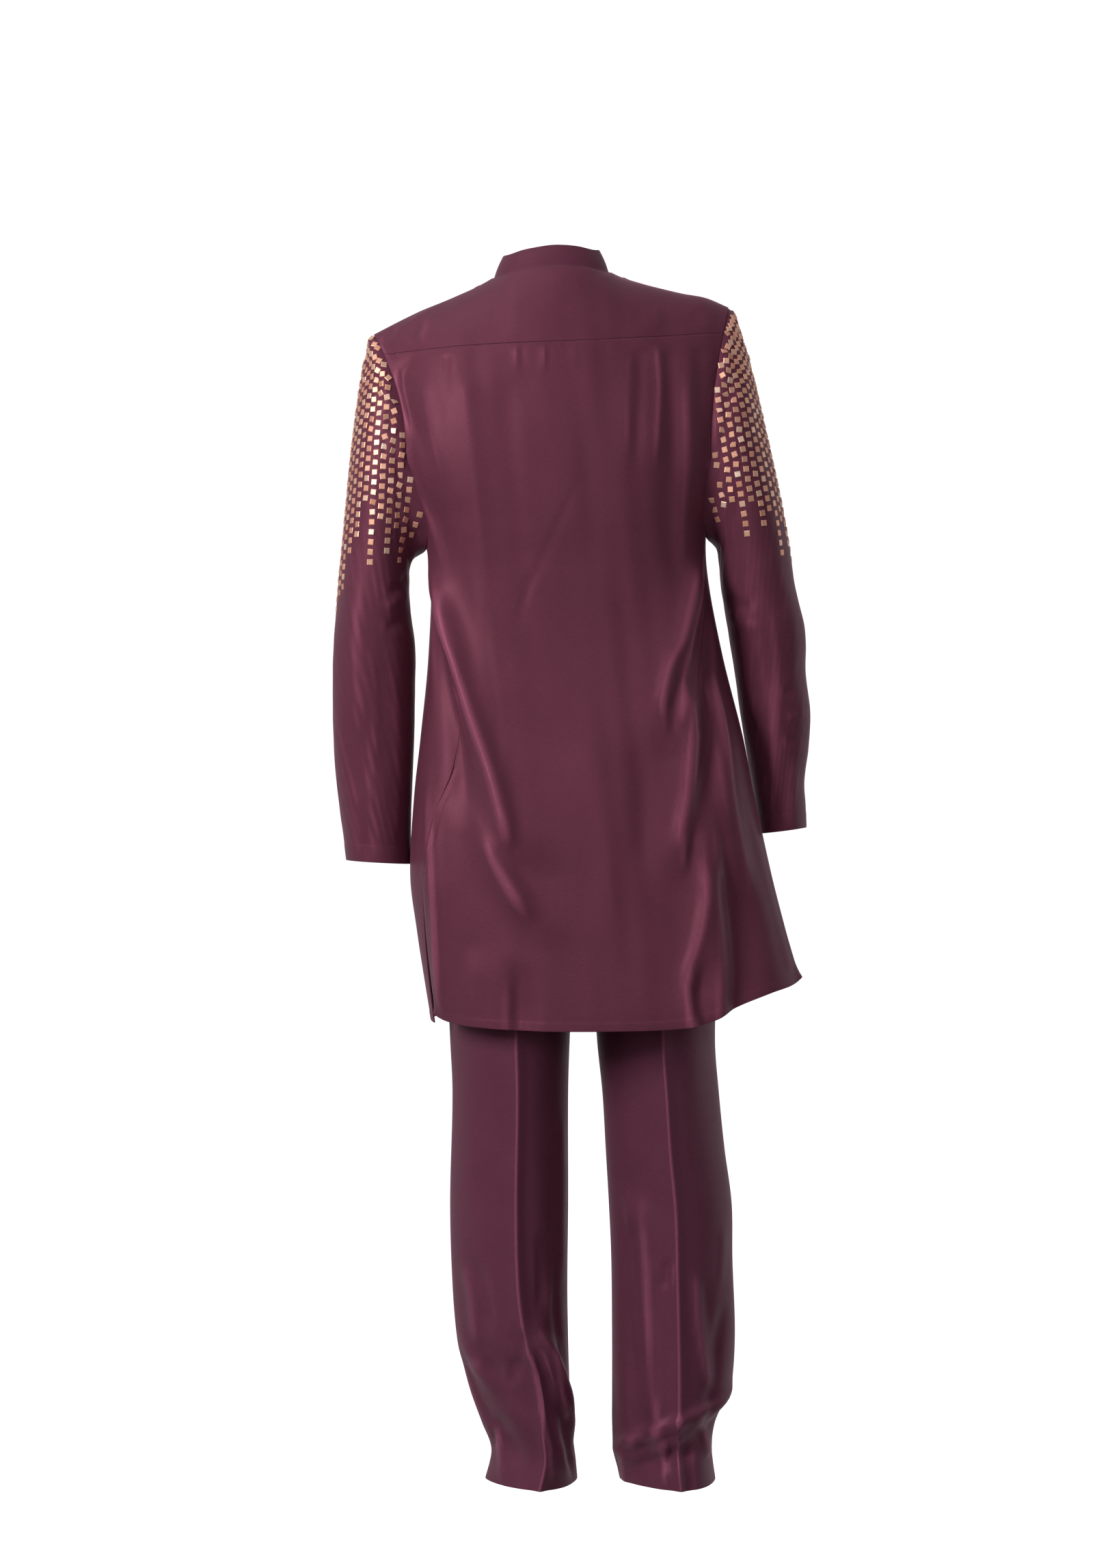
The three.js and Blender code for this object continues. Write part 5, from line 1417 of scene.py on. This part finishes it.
ROSE_METAL = rose_metal()
for side in ("left", "right"):
    squares = sleeve_squares(side, ROSE_METAL)

# Collar. A stand collar of two layers of crepe over a stiff interlining, 34 mm high, sewn into
# the neck, open at the middle of the front.

COLLAR_HEIGHT = 34
COLLAR_LEAN_IN = 0.4
COLLAR_LEAN_FORWARD = 0.16
COLLAR_OPEN = 0.018
COLLAR_BOW = 1.2
COLLAR_WALL = 2.2
COLLAR_SUNK = 0.6
NECK_ROUNDING = 23


def neckline():
    """Line of the neck from the middle of the front by the left side round the back to the
    front again, its two corners rounded by a short moving mean."""
    inside = 0.5 + (NECK_SHARE - 0.006) * np.sin(np.linspace(-math.pi / 2, math.pi / 2, 121))
    front = shoulder_point(inside, top_turn(inside, "front"))
    back = shoulder_point(inside, top_turn(inside, "back"))
    line = np.concatenate([front[:61][::-1], back, front[60:][::-1]])
    walked = walked_along(line[None], 1)[0]
    even = np.linspace(0, walked[-1], 401)
    line = np.stack([np.interp(even, walked, line[:, k]) for k in range(3)], -1)
    padded = np.concatenate([np.repeat(line[:1], 10, 0), line, np.repeat(line[-1:], 10, 0)])
    window = np.hanning(NECK_ROUNDING)[1:-1]
    return np.stack([np.convolve(padded[:, k], window / window.sum(), "valid") for k in range(3)], -1)


def collar_band():
    """Band that rises from the neckline, leaning in and forward, with a slight outward bow."""
    line = neckline()
    share = np.linspace(COLLAR_OPEN, 1 - COLLAR_OPEN, 150) * (len(line) - 1)
    base = np.stack([np.interp(share, np.arange(len(line)), line[:, k]) for k in range(3)], -1)
    axis = np.array([(SHOULDER_LEFT_X + SHOULDER_RIGHT_X) / 2, CREST_Y, 0])
    inward = axis - base
    inward[:, 2] = 0
    inward /= np.linalg.norm(inward, axis=1, keepdims=True)
    up = np.array([0, COLLAR_LEAN_FORWARD, 1.0]) + inward * COLLAR_LEAN_IN
    up /= np.linalg.norm(up, axis=1, keepdims=True)
    height = spaced(COLLAR_HEIGHT, 2.6, (0, 0.5, 1.3, 2.6))
    bow = COLLAR_BOW * np.sin(height / COLLAR_HEIGHT * math.pi)
    inset = 0.9 + 1.3 * ease(0, 3, height)
    grid = (
        base[:, None]
        + up[:, None] * (height[None, :, None] - COLLAR_SUNK)
        + inward[:, None] * (inset - bow)[None, :, None]
    )
    return grid, height


collar_grid, collar_height = collar_band()
collar_edge = np.minimum(COLLAR_HEIGHT - collar_height, 1.1) / 1.1
collar_thick = COLLAR_WALL * np.sqrt(np.clip(1 - (1 - collar_edge) ** 2, 0.12, 1))
COLLAR_CREPE = satin_crepe("collar_crepe", (0.132, 0.036, 0.064, 1.0), patches=0.2)
collar_piece = wear(
    cloth_wall("collar", collar_grid, collar_thick[None, :], COLLAR_CREPE), "collar_band"
)
collar_stitches = stitches(
    "collar_stitches",
    [
        edge_run(collar_grid, collar_thick[None, :], 2.2),
        edge_run(collar_grid, collar_thick[None, :], 3.0, far=True),
    ],
    length=1.5,
    pitch=2.3,
    thread=0.14,
)

# Opening of the chest. A narrow strip of doubled crepe lies over the middle of the front from the
# neck down, stitched along both edges and twice across its foot.

PLACKET_HALF = 16
PLACKET_FOOT_Z = -330
PLACKET_LIFT = 2.1


def front_middle(offset, share):
    """Point of the front beside its middle: up the chest for shares to 0.5, then over it."""
    offset, share = np.broadcast_arrays(np.asarray(offset, float), np.asarray(share, float))
    across = 0.5 + offset / PANEL_WIDTH
    top = float(top_turn(np.array(0.5), "front")) - 2
    high = shoulder_point(across, top * np.clip(share * 2 - 1, 0, 1))
    low = front_edged(across, lerp(PLACKET_FOOT_Z, BLADE_Z, np.clip(share * 2, 0, 1)))
    return np.where(share[..., None] > 0.5, high, low)


offsets = PLACKET_HALF - spaced(2 * PLACKET_HALF, 3, (0, 0.6, 1.6, 2.6))
placket_grid = front_middle(offsets[:, None], spaced(1, 0.012, (0, 0.003, 0.008)))
placket_edge = np.abs(np.abs(offsets) - PLACKET_HALF)
sunk_stitches = 0.35 * np.exp(-(((placket_edge - 1.6) / 0.8) ** 2))
rounded_edge = 0.4 * np.exp(-((placket_edge / 0.6) ** 2))
placket_thick = 1.6 - sunk_stitches - rounded_edge
placket_piece = wear(
    cloth_wall("placket", placket_grid, placket_thick[:, None], COLLAR_CREPE, lift=PLACKET_LIFT),
    "placket_strip",
)
lifted = placket_grid + facing(placket_grid) * PLACKET_LIFT
placket_stitches = stitches(
    "placket_stitches",
    [edge_run(lifted, placket_thick[:, None], 2.0, axis=0, far=far) for far in (False, True)]
    + [edge_run(lifted, placket_thick[:, None], d) for d in (2.0, 18.0)],
    length=1.7,
    pitch=2.6,
)

# Buttons. Four small buttons of dyed resin close the chest. Each is turned with a raised rim and a
# dished middle, and is sewn down through four holes.

BUTTONS = 4
BUTTON_RADIUS = 5.8
BUTTON_THICK = 1.9
BUTTON_STAND = 3.45
RIM_RISE = 0.45
HOLE_OUT, HOLE_RADIUS, HOLE_DEPTH = 1.35, 0.55, 1.3


def button_material():
    """Dyed and polished resin, faintly marbled, darker than the cloth."""
    material = bpy.data.materials.new("button_resin")
    material.use_nodes = True
    tree = material.node_tree
    shader = tree.nodes["Principled BSDF"]
    coordinates = add_node(tree, "ShaderNodeTexCoord")
    marble = add_node(
        tree,
        "ShaderNodeTexNoise",
        {"Vector": coordinates.outputs["Object"], "Scale": 260.0, "Detail": 4.0, "Distortion": 1.5},
    )
    colour = add_node(tree, "ShaderNodeValToRGB", {"Fac": marble.outputs["Fac"]})
    stops = colour.color_ramp.elements
    stops[0].position, stops[0].color = 0.32, (0.040, 0.010, 0.018, 1.0)
    stops[1].position, stops[1].color = 0.7, (0.110, 0.030, 0.050, 1.0)
    rough = add_node(
        tree, "ShaderNodeMapRange", {"Value": marble.outputs["Fac"], 3: 0.22, 4: 0.34}
    )
    tree.links.new(colour.outputs["Color"], shader.inputs["Base Color"])
    tree.links.new(rough.outputs[0], shader.inputs["Roughness"])
    shader.inputs["Coat Weight"].default_value = 0.4
    return material


def button_profile(radius, turn):
    """Height of a button's face: a raised rounded rim, a dished middle, and four holes as deep
    narrow wells, exp(-(distance / radius)^4)."""
    share = radius / BUTTON_RADIUS
    rim = RIM_RISE * np.exp(-(((share - 0.82) / 0.14) ** 2))
    edge = np.sqrt(np.clip(1 - share**10, 0, 1))
    holes = np.zeros(np.broadcast(radius, turn).shape)
    for at in np.radians((45, 135, 225, 315)):
        x = radius * np.cos(turn) - HOLE_OUT * math.cos(at)
        y = radius * np.sin(turn) - HOLE_OUT * math.sin(at)
        holes += np.exp(-((np.hypot(x, y) / HOLE_RADIUS) ** 4))
    return (BUTTON_THICK + rim) * edge - HOLE_DEPTH * holes


def shirt_button(number, material):
    """One button: its face and its flat back as rings about the normal of the strip."""
    share = lerp(0.12, 0.95, number / (BUTTONS - 1))
    sideways = front_middle(-4, share) - front_middle(4, share)
    upward = front_middle(0, share + 0.02) - front_middle(0, share - 0.02)
    outward = np.cross(sideways, upward)
    sideways, upward, outward = (v / np.linalg.norm(v) for v in (sideways, upward, outward))
    radius = np.concatenate([np.linspace(0.02, 5.0, 26), [5.3, 5.55, 5.7, 5.78, BUTTON_RADIUS]])
    turn = np.linspace(0, 2 * math.pi, 64, endpoint=False)[:, None]
    face = button_profile(radius[None, :], turn)
    radii = np.concatenate([radius, radius[::-1]])
    heights = np.concatenate([face, np.zeros_like(face)], 1)
    rings = (
        front_middle(0, share)
        + outward * BUTTON_STAND
        + (np.cos(turn) * radii)[..., None] * sideways
        + (np.sin(turn) * radii)[..., None] * upward
        + heights[..., None] * outward
    )
    count, rows = rings.shape[:2]
    i, j = (a.ravel() for a in np.meshgrid(np.arange(count), np.arange(rows - 1), indexing="ij"))
    k = (i + 1) % count
    faces = np.stack([i * rows + j, i * rows + j + 1, k * rows + j + 1, k * rows + j], -1).tolist()
    faces.append((np.arange(count) * rows).tolist())
    faces.append((np.arange(count) * rows + rows - 1)[::-1].tolist())
    name = f"shirt_button_{number + 1}"
    made = make_up(name, rings, faces, material, np.ones(len(faces), bool))
    return wear(made, f"button_{number + 1}", slot="wine_button")


BUTTON_RESIN = button_material()
for number in range(BUTTONS):
    shirt_button(number, BUTTON_RESIN)

# Trousers. Straight legs of four panels of the same crepe, pressed with a sharp crease down the
# middle of each, with 30 mm hems. The cloth breaks above the hems in short slanting folds.

LEG_HEM = 30
HIP_END_Z = -690
LEG_START_Z = -790
LEG_MIDDLE_Y = -4
CREASE_RISE = 5
CREASE_WIDE = 9
CREASE_START = 120
CREASE_SHARP, CREASE_SHARP_WIDE = 1.9, 2.6
LEG_PANEL_WIDTH = 250
LEG_SEAM_HELD = 12
LEG_STITCH_IN = 1.2
LEG_ROWS_AT_ENDS = (0, 0.8, 2.5, 6, 12, 18, 24, 27, 28.6, 30, 31.2, 33)
LEG_FADE = 40
LEG_MM_PER_DEGREE = 1.35
LEG_BEND = 1.7
LEG_ROUND = 0.62
FRONT_CREASE_SHIFT = 0.3
WAIST_Z = -560
LEG_HEM_Z = -1514
HIP = columns(
    "z half back front",
    (-800, 176, -108, 92),
    (-700, 177, -110, 90),
    (-640, 170, -104, 88),
    (-560, 153, -88, 84),
    (-520, 150, -84, 83),
)
LEGS = {
    "left": columns(
        "z outer inner back front crease",
        (-1520, -81, 36, -84, 84, 10),
        (-1478, -72, 32, -82, 82, 16),
        (-1444, -84, 27, -84, 79, 22),
        (-1409, -97, 26, -86, 77, 30),
        (-1375, -107, 25, -88, 76, 30),
        (-1340, -115, 24, -88, 76, 20),
        (-1271, -121, 23, -88, 77, 12),
        (-1168, -124, 24, -88, 80, 10),
        (-1030, -121, 24, -90, 84, 10),
        (-961, -124, 26, -92, 86, 9),
        (-850, -129, 31, -98, 88, 6),
        (-690, -134, 39, -106, 90, 0),
    ),
    "right": columns(
        "z outer inner back front crease",
        (-1520, 210, 91, -86, 84, 14),
        (-1478, 205, 82, -83, 82, 17),
        (-1444, 209, 80, -86, 79, 16),
        (-1409, 227, 80, -90, 77, 8),
        (-1340, 234, 80, -89, 76, 4),
        (-1237, 231, 79, -88, 77, 4),
        (-1168, 230, 76, -88, 80, 4),
        (-1099, 221, 72, -89, 82, 4),
        (-1030, 214, 68, -90, 84, 5),
        (-961, 209, 61, -92, 86, 6),
        (-850, 213, 55, -98, 88, 4),
        (-690, 220, 47, -106, 90, 0),
    ),
}
# Main folds of the legs: height and turn of the top and the foot, width, and rise
LEG_FOLDS = {
    "left": [
        (-1315, 284, -1455, 345, 13, 8),
        (-1360, 276, -1500, 330, 15, -7),
        (-1200, 306, -1390, 318, 12, -4),
        (-1370, 196, -1480, 232, 16, -7),
        (-1330, 206, -1440, 248, 14, 5),
        (-1400, 60, -1470, 120, 16, -8),
    ],
    "right": [
        (-1160, 238, -1470, 250, 13, 5),
        (-1190, 226, -1480, 238, 13, -5),
        (-1400, 338, -1478, 205, 13, 7),
        (-1428, 338, -1500, 215, 13, -8),
        (-1300, 318, -1440, 300, 12, -5),
        (-1400, 60, -1470, 120, 16, -8),
    ],
}
# Creases of the legs, from behind and then from in front, set out as those of the back are
LEG_CREASES = {
    "left": {
        "back": [
            (4.3, 5, 8, (0.15, 0.2), [
                (-22, -1318), (-19, -1328), (-4, -1353), (6, -1391), (20, -1418), (27, -1440),
            ]),
            (-3.2, 8, 6, (0.3, 0.3), [(-6, -1366), (2, -1400), (10, -1432)]),
            (2.2, 3.5, 4, (0.2, 0.1), [(-23, -1326), (-12, -1399), (-4, -1437), (2, -1464), (0, -1514)]),
            (2.4, 5, 6, (0.3, 0.3), [(-4, -1174), (-1, -1246), (-1, -1309)]),
            (-2.2, 5, 6, (0.3, 0.3), [(-13, -1190), (-11, -1250), (-11, -1300)]),
            (1.9, 5, 6, (0.2, 0.2), [(15, -1039), (17, -1157), (16, -1276)]),
            (2.4, 4, 5, (0.2, 0.2), [(8, -1322), (14, -1379), (23, -1429)]),
            (3.5, 6, 9, (0.2, 0.2), [(-107, -1233), (-97, -1276), (-92, -1319), (-86, -1349)]),
            (-3.0, 8, 8, (0.3, 0.3), [(-92, -1225), (-80, -1280), (-74, -1330)]),
            (4.1, 6, 8, (0.2, 0.2), [(-97, -1353), (-80, -1399), (-67, -1422), (-58, -1439)]),
            (-3.5, 8, 8, (0.3, 0.3), [(-80, -1345), (-64, -1385), (-50, -1420)]),
            (-3.0, 5, 5, (0.3, 0.3), [(-43, -1347), (-45, -1368), (-49, -1390)]),
            (-2.7, 5, 5, (0.3, 0.3), [(-32, -1309), (-34, -1339), (-36, -1377)]),
            (1.6, 4, 4, (0.3, 0.3), [(-45, -1292), (-48, -1309), (-50, -1328)]),
            (2.2, 4, 6, (0.3, 0), [(-65, -1437), (-62, -1464), (-59, -1500)]),
            (-3.5, 4, 5, (0.3, 0.3), [(-73, -1444), (-70, -1464), (-76, -1478)]),
            (-1.1, 16, 16, (0.3, 0.3), [(-80, -960), (-78, -1080), (-76, -1200)]),
        ],
        "front": [
            (3.5, 5, 8, (0.2, 0.2), [(-90, -1410), (-60, -1424), (-24, -1424), (14, -1408)]),
            (-3.5, 7, 6, (0.2, 0.2), [(-84, -1440), (-50, -1452), (-10, -1448), (20, -1434)]),
            (2.7, 5, 6, (0.2, 0.2), [(-70, -1466), (-40, -1474), (0, -1468)]),
            (2.4, 8, 8, (0.3, 0.3), [(-100, -1180), (-88, -1260), (-84, -1350)]),
            (-2.2, 8, 8, (0.3, 0.3), [(4, -1200), (-2, -1290), (-4, -1370)]),
        ],
    },
    "right": {
        "back": [
            (3.0, 5, 7, (0.2, 0.15), [
                (92, -1119), (102, -1189), (106, -1246), (109, -1303), (115, -1361), (118, -1418),
                (121, -1440),
            ]),
            (-2.7, 7, 7, (0.3, 0.2), [(129, -1240), (130, -1326), (131, -1377), (134, -1419)]),
            (-3.2, 4, 4, (0.3, 0.3), [(146, -1225), (145, -1246), (143, -1267)]),
            (2.7, 6, 7, (0.2, 0.2), [(180, -1233), (183, -1303), (195, -1372), (209, -1406)]),
            (-2.4, 7, 7, (0.3, 0.3), [(194, -1240), (200, -1310), (212, -1380)]),
            (1.9, 5, 6, (0.3, 0.3), [(216, -1183), (216, -1225), (212, -1276)]),
            (4.3, 7, 6, (0.15, 0.15), [
                (84, -1466), (111, -1452), (138, -1435), (157, -1428), (183, -1418), (214, -1409),
            ]),
            (-4.1, 6, 8, (0.15, 0.15), [
                (85, -1477), (116, -1466), (141, -1452), (167, -1442), (192, -1432),
            ]),
            (3.0, 5, 6, (0.3, 0.1), [(182, -1424), (191, -1444), (200, -1480)]),
            (2.2, 4, 5, (0.3, 0), [(141, -1444), (143, -1461), (144, -1500)]),
            (2.2, 4, 5, (0.3, 0), [(89, -1470), (92, -1487), (96, -1512)]),
            (-2.2, 6, 6, (0.3, 0), [(166, -1450), (170, -1480), (172, -1512)]),
            (-1.1, 16, 16, (0.3, 0.3), [(184, -960), (190, -1080), (196, -1180)]),
        ],
        "front": [
            (3.5, 5, 8, (0.2, 0.2), [(90, -1416), (120, -1426), (160, -1424), (204, -1406)]),
            (-3.5, 7, 6, (0.2, 0.2), [(92, -1444), (130, -1452), (166, -1450), (200, -1434)]),
            (2.7, 5, 6, (0.2, 0.2), [(100, -1466), (140, -1476), (186, -1468)]),
            (-2.2, 8, 8, (0.3, 0.3), [(100, -1200), (106, -1290), (108, -1370)]),
            (2.4, 8, 8, (0.3, 0.3), [(200, -1190), (208, -1270), (206, -1360)]),
        ],
    },
}


def hip_point(turn, z):
    """Point of the hips: an oval about their middle, squared a little as the body's is."""
    c, s = np.cos(np.radians(turn)), np.sin(np.radians(turn))
    face = np.where(s < 0, curve(HIP, "z", z, "back"), curve(HIP, "z", z, "front"))
    x = HIP_MIDDLE_X + curve(HIP, "z", z, "half") * c * (1 + BODY_SQUARE * s * s)
    y = LEG_MIDDLE_Y + (face - LEG_MIDDLE_Y) * np.abs(s) * (1 + BODY_SQUARE * c * c)
    return np.stack(np.broadcast_arrays(x, y, z), -1)


def leg_rise(side, turn, z):
    """Folds of a leg, each on a straight line of turns, and the pressed crease, a sharp ridge
    that falls off as exp(-d / width) on top of a soft one."""
    rise = np.zeros(turn.shape)
    for top, head_turn, foot, foot_turn, wide, out in LEG_FOLDS[side]:
        share = np.clip((top - z) / (top - foot), 0, 1)
        off = (turn - lerp(head_turn, foot_turn, share) + 900) % 360 - 180
        slope = abs(foot_turn - head_turn) * LEG_MM_PER_DEGREE / (top - foot)
        wide = wide * math.hypot(1, slope)
        lasts = ease(top + LEG_FADE / 2, top - LEG_FADE / 2, z)
        lasts = lasts * ease(foot - LEG_FADE / 2, foot + LEG_FADE / 2, z)
        rise += out * lasts * np.exp(-((off * LEG_MM_PER_DEGREE / wide) ** 2))
    pressed = ease(LEG_START_Z, LEG_START_Z - CREASE_START, z)
    distance = np.minimum(np.abs(turn - 270), np.abs(turn - 90)) * LEG_MM_PER_DEGREE
    soft = CREASE_RISE * np.exp(-((distance / CREASE_WIDE) ** 2))
    return rise + pressed * (soft + CREASE_SHARP * np.exp(-distance / CREASE_SHARP_WIDE))


def leg_point(side, turn, z):
    """Point of a leg: an oval flattened towards its pressed crease, with its folds."""
    leg = LEGS[side]
    outer, inner = curve(leg, "z", z, "outer"), curve(leg, "z", z, "inner")
    c, s = np.cos(np.radians(turn)), np.sin(np.radians(turn))
    face = np.where(s < 0, curve(leg, "z", z, "back"), curve(leg, "z", z, "front"))
    shift = curve(leg, "z", z, "crease") * np.where(s < 0, 1, FRONT_CREASE_SHIFT) * s * s
    x = (outer + inner) / 2 + np.abs(outer - inner) / 2 * c + shift
    depth = face - LEG_MIDDLE_Y
    y = LEG_MIDDLE_Y + depth * np.clip(1 - np.abs(c) ** LEG_BEND, 0, 1) ** LEG_ROUND
    out = np.stack([c, s, np.zeros_like(c)], -1)
    return np.stack([x, y, z], -1) + out * leg_rise(side, turn, z)[..., None]


def trouser_panel(side, face):
    """One of four panels: a quarter of the hips above, half of a leg below, with columns close
    together at the seams and at the crease."""
    side_turn = 180 if side == "left" else 360 if face == "back" else 0
    inner_turn = 180 if side == "right" else 360 if face == "back" else 0
    middle_turn = 270 if face == "back" else 90
    half = spaced(LEG_PANEL_WIDTH / 2, 4.2, (0, 0.9, 2.4, 5)) / LEG_PANEL_WIDTH
    across = np.concatenate([half, 1 - half[::-1][1:]])
    levels = LEG_HEM_Z + spaced(WAIST_Z - LEG_HEM_Z, 4.2, LEG_ROWS_AT_ENDS)
    share, z = np.meshgrid(across, levels, indexing="ij")
    hip = hip_point(lerp(side_turn, middle_turn, share), z)
    leg = leg_point(side, lerp(side_turn, inner_turn, share), z)
    grid = lerp(hip, leg, ease(HIP_END_Z, LEG_START_Z, z)[..., None])
    hold = ease(0, LEG_SEAM_HELD, np.minimum(across, 1 - across)[:, None] * LEG_PANEL_WIDTH)
    if (side == "left") != (face == "back"):
        grid, hold = grid[::-1], hold[::-1]
    return creased(grid, LEG_CREASES[side][face], -1 if face == "back" else 1, hold)


TROUSER_CREPE = satin_crepe("trouser_crepe", (0.150, 0.043, 0.077, 1.0))
for side in ("left", "right"):
    for face in ("back", "front"):
        grid = trouser_panel(side, face)
        thick = turned_edge(walked_along(grid, 1), LEG_HEM, 0.5)
        leg_piece = wear(
            cloth_wall(f"leg_{side}_{face}", grid, thick, TROUSER_CREPE),
            f"trouser_{face}_{side}",
        )
        hem_stitches = stitches(
            f"leg_{side}_{face}_stitches",
            [edge_run(grid, thick, LEG_HEM - LEG_STITCH_IN)],
            length=0.9,
            pitch=3.6,
            thread=0.14,
        )

# Waistband. A doubled band of the same crepe over the top of the four panels, stitched along both
# of its edges. It lies hidden below the kurta and closes round the waist.

WAISTBAND_TOP_Z = -524
BAND_GAP = 0.3
BAND_WALL = 2.2
band_turn = np.linspace(0, 360, 130, endpoint=False)[:, None]
band_z = WAIST_Z + BAND_GAP + spaced(WAISTBAND_TOP_Z - WAIST_Z, 4, (0, 0.6, 1.5, 3))
band_grid = hip_point(band_turn, band_z[None, :])
from_band_edge = np.minimum(band_z - band_z[0], band_z[-1] - band_z)
band_thick = BAND_WALL - 0.9 * np.exp(-((from_band_edge / 0.7) ** 2))
waistband_piece = wear(
    cloth_wall("waistband", band_grid, band_thick[None, :], TROUSER_CREPE, closed=True),
    "trouser_waistband",
)
waistband_stitches = stitches(
    "waistband_stitches",
    [
        edge_run(band_grid, band_thick[None, :], 2.0, closed=True),
        edge_run(band_grid, band_thick[None, :], 2.0, far=True, closed=True),
    ],
)
